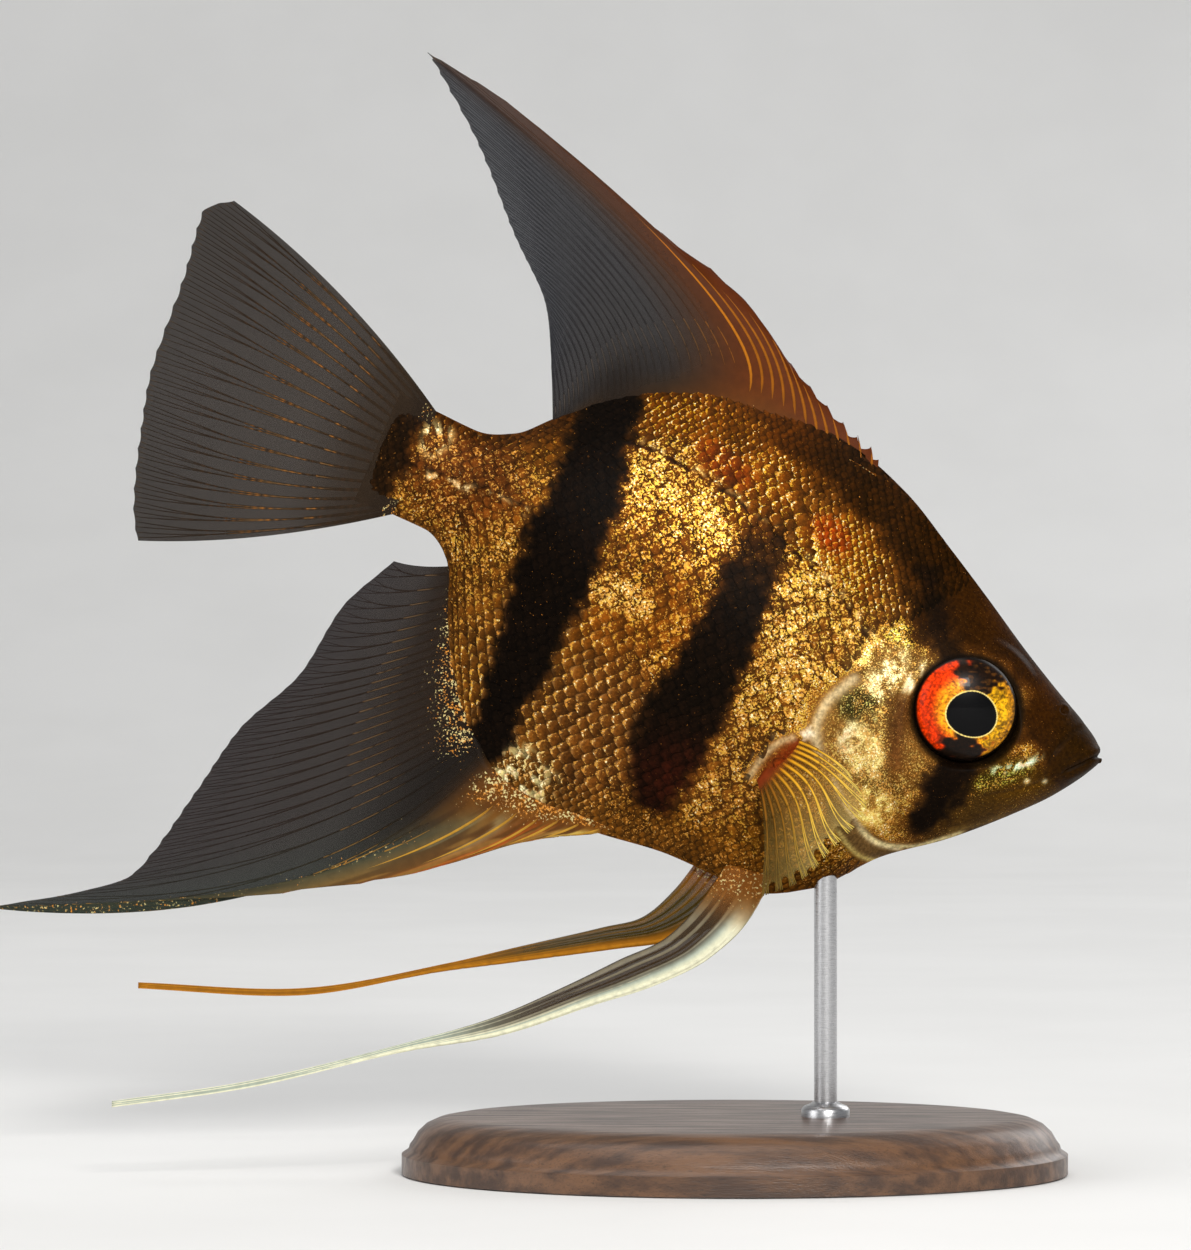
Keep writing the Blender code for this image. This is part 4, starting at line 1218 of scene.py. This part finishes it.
def fin_material(name, roughness):
    """Streaky skin or bone, as clear as its cover says, with golden specks where the glint says."""
    nodes = Nodes(name)
    streak = nodes.noise(0.0007, 5.0, 0.62)
    shade = nodes.between(streak, 0.25, 0.75, 0.88, 1.12)
    net = nodes.darkened(nodes.attribute("net"), shade)
    speck = nodes.flecks(FIN_SPECK_SIZE, 2.0, 0.6, nodes.attribute("glint", "Fac"), 0.82, 0.42, 0.07)
    warmth = nodes.between(nodes.noise(0.0006, 2.0), 0.40, 0.60)
    tone = nodes.mix(speck, net, nodes.mix(warmth, FIN_SPECK, WARM_SPECK))
    cover = nodes.attribute("cover", "Fac")
    return nodes.set(Base_Color=tone, Roughness=roughness, Alpha=cover, Specular_IOR_Level=0.06)


WEB_LOOK = fin_material("fin_web", 0.5)
RAY_LOOK = fin_material("fin_ray", 0.42)


# -------- the dorsal, anal and tail fins

DORSAL_SPINES = np.linspace(0.02, 0.405, 12)
DORSAL_SOFT = np.linspace(0.435, 0.985, 26)
ANAL_SPINES = np.linspace(0.02, 0.30, 6)
ANAL_SOFT = np.linspace(0.335, 0.985, 27)
CAUDAL_SOFT = np.linspace(0.03, 0.97, 18)
SOFT_REACH = 0.994  # how far the soft rays reach, of the fin's length


def fin_edge(places, rays, spines, dip, soft):
    """How far the web reaches: to the spines' tips and less behind them, and in scallops between rays."""
    scallops = SCALLOP * abs(np.sin(np.pi * (places - soft[0]) / (soft[1] - soft[0])))
    if not len(spines):
        return 1.0 - scallops
    step = spines[1] - spines[0]
    behind = ((places - spines[0]) / step) % 1.0
    length = np.interp(places, [ray[0] for ray in rays], [math.dist(ray[1], ray[3]) for ray in rays])
    spiny = smooth(spines[-1] + 0.4 * step, spines[-1], places)
    edge = 1.0 - dip / np.maximum(length, 2.0 * dip) * behind**0.7 * spiny
    return edge - scallops * (places > soft[0] - 0.015)


def make_median_fin(name, node, rays, spines, soft, shades, sway, columns, dip, web_root, radii,
                    forks=(0.42, 0.74), fan=(0.30, 0.16)):
    """A fin in the mid-plane, whose free edge sways gently to one side and back."""
    def at(place, v):
        return upright(bowed(through_rays(rays, place), v), sway * np.sin(2.0 * np.pi * place) * v**2)

    paint_web, paint_spine, paint_ray = shades
    spine_radius, soft_radius = radii
    places = np.linspace(0.0, 1.0, columns)
    web = Bundle()
    fin_web(web, at, places, fin_edge(places, rays, spines, dip, soft), web_root, paint_web)
    web.build(f"{name}_web", WEB_LOOK, "smoky_fin", node)
    bones = Bundle()
    for place in spines:
        spine(bones, at, place, spine_radius, paint_spine)
    for place in soft:
        soft_ray(bones, at, place, soft[1] - soft[0], SOFT_REACH, soft_radius, paint_ray, forks, fan)
    bones.build(f"{name}_rays", RAY_LOOK, "smoky_fin")


def dorsal_web(place, v):
    soft = smooth(0.40, 0.62, place + 0.10 * v)
    rust, smoke = blend(v, (88, 40, 3), (80, 33, 5)), blend(v, (34, 28, 24), (42, 43, 48))
    shade = over(
        blend(soft, rust, smoke),
        (0.9 * smooth(0.24, 0.03, v), blend(soft, (88, 46, 5), (56, 31, 6))),
        (0.8 * hump(place, 0.735, 0.09) * smooth(0.42, 0.1, v), (24, 17, 12)),
    )
    cover = 0.97 - 0.16 * soft * smooth(0.05, 0.5, v) - 0.10 * smooth(0.8, 1.0, v)
    return shade, cover, (0.62 - 0.3 * soft) * smooth(0.13, 0.02, v)


def dorsal_spine(place, v):
    """Gold, with the last spine the brightest."""
    last = place == DORSAL_SPINES[-1]
    root = blend(last, (140, 80, 12), (168, 100, 18))
    shade = blend(smooth(0.0, 0.3, v), (104, 60, 8), root)
    return blend(smooth(0.7, 1.0, v) * np.where(last, 0.2, 0.7), shade, (56, 32, 10))


def dorsal_ray(place, v, joint):
    gold, smoke = blend(v, (128, 72, 12), (120, 66, 18)), blend(v, (58, 48, 38), (78, 76, 76))
    shade = blend(smooth(0.42, 0.62, place + 0.1 * v), gold, smoke)
    return shade * (1.0 - 0.15 * hump(joint, 0.0, 0.15))[..., None]


def anal_web(place, v):
    front = smooth(0.42, 0.28, place)
    streak = smooth(0.45, 0.62, soft_noise(place * 60.0, v * 5.0, 1.0, 41))
    thin = smooth(0.36, 0.60, soft_noise(place * 80.0, v * 3.5, 1.0, 42))
    gold = blend(0.55 * streak, blend(v, (84, 46, 12), (100, 66, 24)), (168, 120, 50))
    green = hump(place, 0.36, 0.07) * smooth(0.06, 0.4, v)
    pale = hump(place, 0.26, 0.035) * smooth(0.12, 0.26, v) * smooth(0.80, 0.50, v)
    orange = hump(place, 0.17, 0.05) * smooth(0.10, 0.30, v)
    cream = hump(place, 0.04, 0.06) * smooth(0.20, 0.46, v)
    sheath = smooth(0.20 + 0.30 * smooth(0.40, 0.20, place), 0.04, v) * smooth(0.46, 0.32, place)
    bar = hump(place, 0.44, 0.07) * smooth(0.65, 0.1, v)
    shade = over(
        blend(front * 0.9, blend(v, (34, 24, 15), (37, 31, 31)), gold),
        (0.75 * green, (44, 58, 52)),
        (0.60 * pale * thin, (168, 176, 140)),
        (0.65 * orange * thin, (176, 78, 20)),
        (0.75 * cream * thin, (206, 176, 84)),
        (0.85 * sheath, (104, 58, 12)),
        (0.85 * bar, (22, 17, 13)),
    )
    beads = smooth(0.30, 0.04, v) * smooth(0.38, 0.48, place)
    cover = 0.95 - 0.15 * smooth(0.05, 0.5, v) * (1.0 - front)
    return shade, cover, 0.70 * sheath + 0.66 * beads + 0.56 * green


def anal_spine(place, v):
    shade = blend(smooth(0.0, 0.35, v), (96, 54, 14), (172, 128, 44))
    return blend(smooth(0.7, 1.0, v), shade, (150, 84, 30))


def anal_ray(place, v, joint):
    dark = blend(v, (92, 68, 38), (88, 74, 66))
    shade = blend(smooth(0.46, 0.34, place) * 0.8, dark, (150, 108, 38))
    return blend(0.85 * hump(joint, 0.5, 0.2) * smooth(0.24, 0.04, v), shade, (232, 206, 112))


def tail_web(place, v):
    shade = blend(0.55 * hump(v, 0.05, 0.07), blend(v, (44, 32, 20), (38, 31, 26)), (30, 22, 16))
    return shade, 0.93 - 0.17 * smooth(0.05, 0.45, v), 0.55 * smooth(0.14, 0.03, v)


def tail_ray(place, v, joint):
    dots = hump(joint, 0.5, 0.18) * smooth(0.02, 0.2, v) * smooth(0.95, 0.6, v)
    shade = blend(0.8 * dots, blend(v, (96, 72, 42), (76, 62, 48)), (184, 112, 38))
    return blend(0.4 * smooth(0.40, 0.5, abs(place - 0.5)), shade, (60, 46, 34))


make_median_fin(
    "dorsal", "dorsal_fin", DORSAL_RAYS, DORSAL_SPINES, DORSAL_SOFT, (dorsal_web, dorsal_spine, dorsal_ray),
    sway=0.9, columns=240, dip=1.1, web_root=0.40, radii=(0.20, 0.13),
)
make_median_fin(
    "anal", "anal_fin", ANAL_RAYS, ANAL_SPINES, ANAL_SOFT, (anal_web, anal_spine, anal_ray),
    sway=-0.9, columns=220, dip=0.9, web_root=0.40, radii=(0.19, 0.13),
)
make_median_fin(
    "tail", "caudal_fin", CAUDAL_RAYS, (), CAUDAL_SOFT, (tail_web, None, tail_ray),
    sway=0.7, columns=180, dip=0.0, web_root=0.75, radii=(0.0, 0.17), forks=(0.34, 0.64), fan=(0.26, 0.13),
)


# -------- the paired fins

PECTORAL_SOFT = np.linspace(0.03, 0.97, 12)
PECTORAL_STEP = PECTORAL_SOFT[1] - PECTORAL_SOFT[0]


def pectoral_web(place, v):
    rear = smooth(0.5, 1.0, place)
    root = smooth(0.14, 0.04, v)
    clear = blend(v, (170, 100, 26), (206, 186, 116))
    shade = over(clear, (0.85 * rear, (70, 54, 18)), (root, (112, 42, 10)))
    return shade, 0.16 + 0.74 * root + 0.26 * rear, 0.0


def pectoral_ray(place, v, joint):
    bright, dull = blend(v, (226, 152, 20), (238, 206, 96)), blend(v, (118, 66, 12), (104, 78, 24))
    shade = blend(0.85 * smooth(0.50, 0.85, place), bright, dull)
    return blend(smooth(0.16, 0.02, v), shade, (112, 42, 10))


def torn_edge(places):
    """How far the web reaches: less between the rays, by a different share each time."""
    between = (places - PECTORAL_SOFT[0]) / PECTORAL_STEP
    dips = np.random.default_rng(61).uniform(0.04, 0.16, 14)
    return 1.0 - dips[np.floor(between).astype(int) + 1] * np.sin(np.pi * (between % 1.0)) ** 0.7


def make_pectoral(side, places, edge):
    """A pectoral fin of fine golden rays in clear skin."""
    def at(place, v):
        bend = 0.035 * np.sin(2.0 * np.pi * v) * np.sin(np.pi * np.clip(place, 0.0, 1.0))
        flat = bowed(through_rays(PECTORAL_RAYS, np.clip(place - bend, 0.0, 1.0)), v)
        return upright(flat, SIDES[side] * flat[..., 2])

    web = Bundle()
    fin_web(web, at, places, edge, 0.30, pectoral_web, 44)
    web.build(f"pectoral_web_{side}", WEB_LOOK, "amber_fin", f"pectoral_fin_{side}")
    rays = Bundle()
    forks, fan = (0.36, 0.80), (0.17, 0.07)
    for place in PECTORAL_SOFT:
        # The 0.72 gives the pectoral rays painted shade on their sides, which leaves their crests bright.
        soft_ray(rays, at, place, PECTORAL_STEP, 0.985, 0.20, pectoral_ray, forks, fan, 10, 0.72)
    rays.build(f"pectoral_rays_{side}", RAY_LOOK, "amber_fin")


PECTORAL_PLACES = np.linspace(0.0, 1.0, 160)
PECTORAL_EDGE = torn_edge(PECTORAL_PLACES)
for SIDE in SIDES:
    make_pectoral(SIDE, PECTORAL_PLACES, PECTORAL_EDGE)

# Share across the fin, length of the ray and its radius. The first is the spine.
PELVIC_RAYS = (
    (0.03, 0.30, 0.30), (0.10, 1.0, 0.27), (0.22, 0.80, 0.15), (0.34, 0.72, 0.17), (0.46, 0.62, 0.14),
    (0.56, 0.52, 0.16), (0.68, 0.46, 0.13), (0.80, 0.42, 0.15), (0.94, 0.36, 0.14),
)


def make_pelvic(side, rows, slot, pale, dark, stripe):
    """A pelvic fin: a spine and five rays, the first of them drawn out into a thread."""
    def at(share, v):
        leading, trailing = through_rays(rows, v)
        flat = leading * (1.0 - share[..., None]) + trailing * share[..., None]
        return upright(flat, SIDES[side] * flat[..., 2])

    def web_shade(share, v):
        fine = smooth(0.42, 0.60, soft_noise(share * 15.0 + 0.6 * v, v * 3.0, 1.0, 51))
        behind = smooth(0.26, 0.50, share) * smooth(0.56, 0.34, v)
        shade = over(
            blend(0.60 * fine * smooth(0.14, 0.34, share), pale, stripe),
            (behind * (0.60 + 0.40 * fine), dark),
            (smooth(0.10, 0.02, v), (124, 72, 20)),
        )
        return shade, 0.97 - 0.20 * behind, 0.6 * smooth(0.12, 0.02, v)

    def ray_shade(share, v, joint):
        shade = over(
            blend(0.85 * smooth(0.2, 0.5, share) * smooth(0.6, 0.4, v), pale, colour(dark) * 1.5),
            (smooth(0.08, 0.0, v), (150, 96, 36)),
        )
        return shade * (1.0 - 0.10 * hump(joint, 0.0, 0.15))[..., None]

    web = Bundle()
    share, v = np.meshgrid(np.linspace(0.0, 1.0, 56), np.linspace(0.0, 1.0, 200), indexing="ij")
    half = (0.08 + 0.42 * (1.0 - v) ** 12 + 0.05 * smooth(0.5, 0.7, v)) * smooth(1.0, 0.97, v)
    half = half * (1.0 - 0.5 * smooth(0.85, 1.0, share))
    sheet(web, at(share, v), half, *web_shade(share, v))
    web.build(f"pelvic_web_{side}", WEB_LOOK, slot, f"pelvic_fin_{side}")
    rays = Bundle()
    for place, reach, radius in PELVIC_RAYS:
        v = np.linspace(0.0, reach, int(40 + 120 * reach))
        places = np.full(len(v), place)
        joint = (v * path_length(at(places, v)) / reach / (1.3 * JOINT)) % 1.0
        end = 0.35 if reach == 1.0 else 0.08
        width = radius * (1.0 - (1.0 - end) * (v / reach) ** 0.8)
        width = width * (1.0 - 0.12 * hump(joint, 0.0, 0.15))
        width = width * np.sqrt(np.clip((reach - v) / 0.03, 0.01, 1.0))
        shares = place + (0.5 - place) * smooth(0.45, 0.9, v) * (reach == 1.0)
        tube(rays, at(shares, v), width, ray_shade(places, v, joint), 7)
    rays.build(f"pelvic_rays_{side}", RAY_LOOK, slot)


make_pelvic("right", RIGHT_PELVIC, "cream_fin", (222, 220, 190), (56, 42, 26), (112, 130, 126))
make_pelvic("left", LEFT_PELVIC, "rust_fin", (172, 112, 26), (70, 56, 20), (120, 74, 20))


# -------- the stand

WOOD_TURN = (0.0, 0.06, 0.10)  # of the grain, in radians
DARK_WOOD = (0.050, 0.022, 0.010, 1.0)
PALE_WOOD = (0.150, 0.070, 0.030, 1.0)
DARK_STEEL = (0.46, 0.46, 0.47, 1.0)
PALE_STEEL = (0.66, 0.66, 0.67, 1.0)


def walnut():
    """Oiled wood, with its grain along x."""
    nodes = Nodes("oiled_walnut")
    figure = nodes.noise(0.010, 5.0, 0.6, nodes.place((1.0, 9.0, 6.0), WOOD_TURN))
    fine = nodes.noise(0.0016, 4.0, 0.6, nodes.place((1.0, 22.0, 14.0), WOOD_TURN))
    brown = nodes.mix(nodes.between(figure, 0.35, 0.68), DARK_WOOD, PALE_WOOD)
    pores = nodes.between(fine, 0.30, 0.46, 0.45, 1.0)
    tone = nodes.darkened(brown, pores)
    gloss = nodes.between(figure, 0.3, 0.7, 0.44, 0.30)
    nodes.bump(fine, 0.00008, 0.5)
    return nodes.set(Base_Color=tone, Roughness=gloss, Coat_Weight=0.3, Coat_Roughness=0.25)


def brushed_steel():
    nodes = Nodes("brushed_steel")
    lines = nodes.noise(0.0009, 4.0, 0.6, nodes.place((1.0, 1.0, 30.0)))
    tone = nodes.mix(nodes.between(lines, 0.3, 0.7), DARK_STEEL, PALE_STEEL)
    gloss = nodes.between(lines, 0.3, 0.7, 0.24, 0.40)
    nodes.bump(lines, 0.00001, 0.4)
    return nodes.set(Base_Color=tone, Roughness=gloss, Metallic=1.0)


TURNED_ANGLE = math.radians(50.0)  # edges sharper than this show as edges
COLLAR_WIDTH = 2.1  # of the collar, by the rod's
COLLAR_GAP = 0.0001  # how far the collar reaches into the foot, and its room round the rod
# How far each step of a profile lies in from the rim, and its share of the height or its rise.
FOOT_RIM = ((0.0009, 0.0), (0.0003, 0.0), (0.0, 0.03), (0.0, 0.36), (0.0006, 0.44), (0.0007, 0.52))
FOOT_TOP = ((0.0010, 0.60), (0.0014, 0.74), (0.0021, 0.87), (0.0031, 0.96), (0.0042, 1.0), (0.0060, 1.0))
COLLAR_STEPS = ((0.0, 0.0), (0.0, 0.0007), (0.0002, 0.0010), (0.0007, 0.0012))


def turned(name, centre, reach, profile, segments):
    """A closed oval or round solid: the profile gives a distance in from the rim, and a height."""
    turn = np.arange(segments) * 2.0 * math.pi / segments
    rows = []
    for inset, height in profile:
        x = centre[0] + (reach[0] - inset) * np.cos(turn)
        y = centre[1] + (reach[1] - inset) * np.sin(turn)
        rows.append(np.column_stack([x, y, np.full(segments, height)]))
    piece = mesh_object(name, np.array(rows), closed_rings(len(rows), segments), world=True)
    piece.data.set_sharp_from_angle(angle=TURNED_ANGLE)
    return piece


def make_stand():
    low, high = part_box("stand_base")
    centre, half = (low + high) / 2.0, (high - low) / 2.0
    profile = [(inset, low.z + share * (high.z - low.z)) for inset, share in FOOT_RIM + FOOT_TOP]
    foot = turned("stand_foot", centre, (half.x, half.y), profile, 180)
    finish_piece(foot, walnut(), "stand_wood", "stand_base")
    rod_low, rod_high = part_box("stand_rod")
    rod_centre, rod_half = (rod_low + rod_high) / 2.0, (rod_high - rod_low) / 2.0
    radius = rod_half.y
    steel = brushed_steel()
    rod = turned("stand_upright", rod_centre, (radius, radius), [(0.0, rod_low.z), (0.0, rod_high.z)], 48)
    finish_piece(rod, steel, "stand_steel", "stand_rod")
    wide = radius * COLLAR_WIDTH
    steps = COLLAR_STEPS + ((wide - radius - COLLAR_GAP, 0.0014),)
    collar_profile = [(inset, high.z - COLLAR_GAP + rise) for inset, rise in steps]
    collar = turned("stand_collar", rod_centre, (wide, wide), collar_profile, 64)
    finish_piece(collar, steel, "stand_steel")


make_stand()


# -------- the studio

CAMERA_DISTANCE = 0.45
FRAME_HEIGHT = 0.1089
AIM_SHIFT = (0.00465, 0.0, -0.00105)  # from the middle of the model's box
SENSOR = 36.0
FLOOR_FRONT, FLOOR_HALF = -1.2, 2.2  # where the paper begins, and half its width, which is its height too
BEND_Y, BEND = 0.55, 0.5  # where it begins to curve up, and the radius


def make_camera(middle):
    """A long lens, straight from the fish's right side."""
    lens = bpy.data.cameras.new("camera")
    lens.sensor_width = SENSOR
    lens.lens = SENSOR * CAMERA_DISTANCE / FRAME_HEIGHT
    lens.clip_start, lens.clip_end = 0.01, 20.0
    camera = bpy.data.objects.new("camera", lens)
    camera.location = middle + Vector(AIM_SHIFT)
    camera.location.y = middle.y - CAMERA_DISTANCE
    camera.rotation_euler = (math.radians(90.0), 0.0, 0.0)
    bpy.context.scene.collection.objects.link(camera)
    bpy.context.scene.camera = camera


def backdrop_look():
    nodes = Nodes("pale_paper")
    tint = nodes.between(nodes.noise(0.05, 3.0), 0.3, 0.7, 0.0, 1.0)
    tone = nodes.mix(tint, (0.82, 0.815, 0.80, 1.0), (0.85, 0.845, 0.83, 1.0))
    nodes.bump(nodes.noise(0.0006, 3.0), 0.00003, 0.3)
    return nodes.set(Base_Color=tone, Roughness=0.85)


def make_floor():
    """A pale sheet that runs back over the floor and curves up behind."""
    turns = np.linspace(0.0, math.pi / 2.0, 40)
    bend = [(BEND_Y + BEND * math.sin(turn), BEND - BEND * math.cos(turn)) for turn in turns]
    run = [(FLOOR_FRONT, 0.0)] + bend + [(BEND_Y + BEND, FLOOR_HALF)]
    across = np.linspace(-FLOOR_HALF, FLOOR_HALF, 12)
    points = np.array([[(x, *place) for x in across] for place in run])
    floor = mesh_object("floor", points, grid_faces(*points.shape[:2])[:, ::-1], world=True)
    floor.data.materials.append(backdrop_look())


# Name, place, size, power and tint. All aim at the middle of the model.
LIGHTS = (
    ("key", (0.14, -0.62, 0.36), 0.16, 4.0, (1.0, 0.985, 0.96)),
    ("overhead", (-0.15, -0.05, 0.95), 0.7, 3.2, (1.0, 1.0, 1.0)),
    ("left", (-0.75, -0.35, 0.30), 0.5, 1.8, (1.0, 1.0, 1.0)),
    ("back", (0.55, 0.60, 0.45), 0.5, 2.2, (1.0, 1.0, 1.0)),
)


def make_light(middle):
    for name, place, size, power, tint in LIGHTS:
        lamp = bpy.data.lights.new(name, "AREA")
        lamp.size, lamp.energy, lamp.color = size, power, tint
        light = bpy.data.objects.new(name, lamp)
        light.location = place
        light.rotation_euler = (middle - Vector(place)).to_track_quat("-Z", "Y").to_euler()
        bpy.context.scene.collection.objects.link(light)
    world = bpy.data.worlds.new("studio")
    world.use_nodes = True
    air = world.node_tree.nodes["Background"].inputs
    air["Color"].default_value = (0.94, 0.96, 1.0, 1.0)
    air["Strength"].default_value = 0.26
    bpy.context.scene.world = world


def make_studio():
    middle = (CAD_BOX[0] + CAD_BOX[1]) / 2.0
    make_camera(middle)
    make_floor()
    make_light(middle)
    bpy.context.scene.view_settings.view_transform = "Standard"


make_studio()
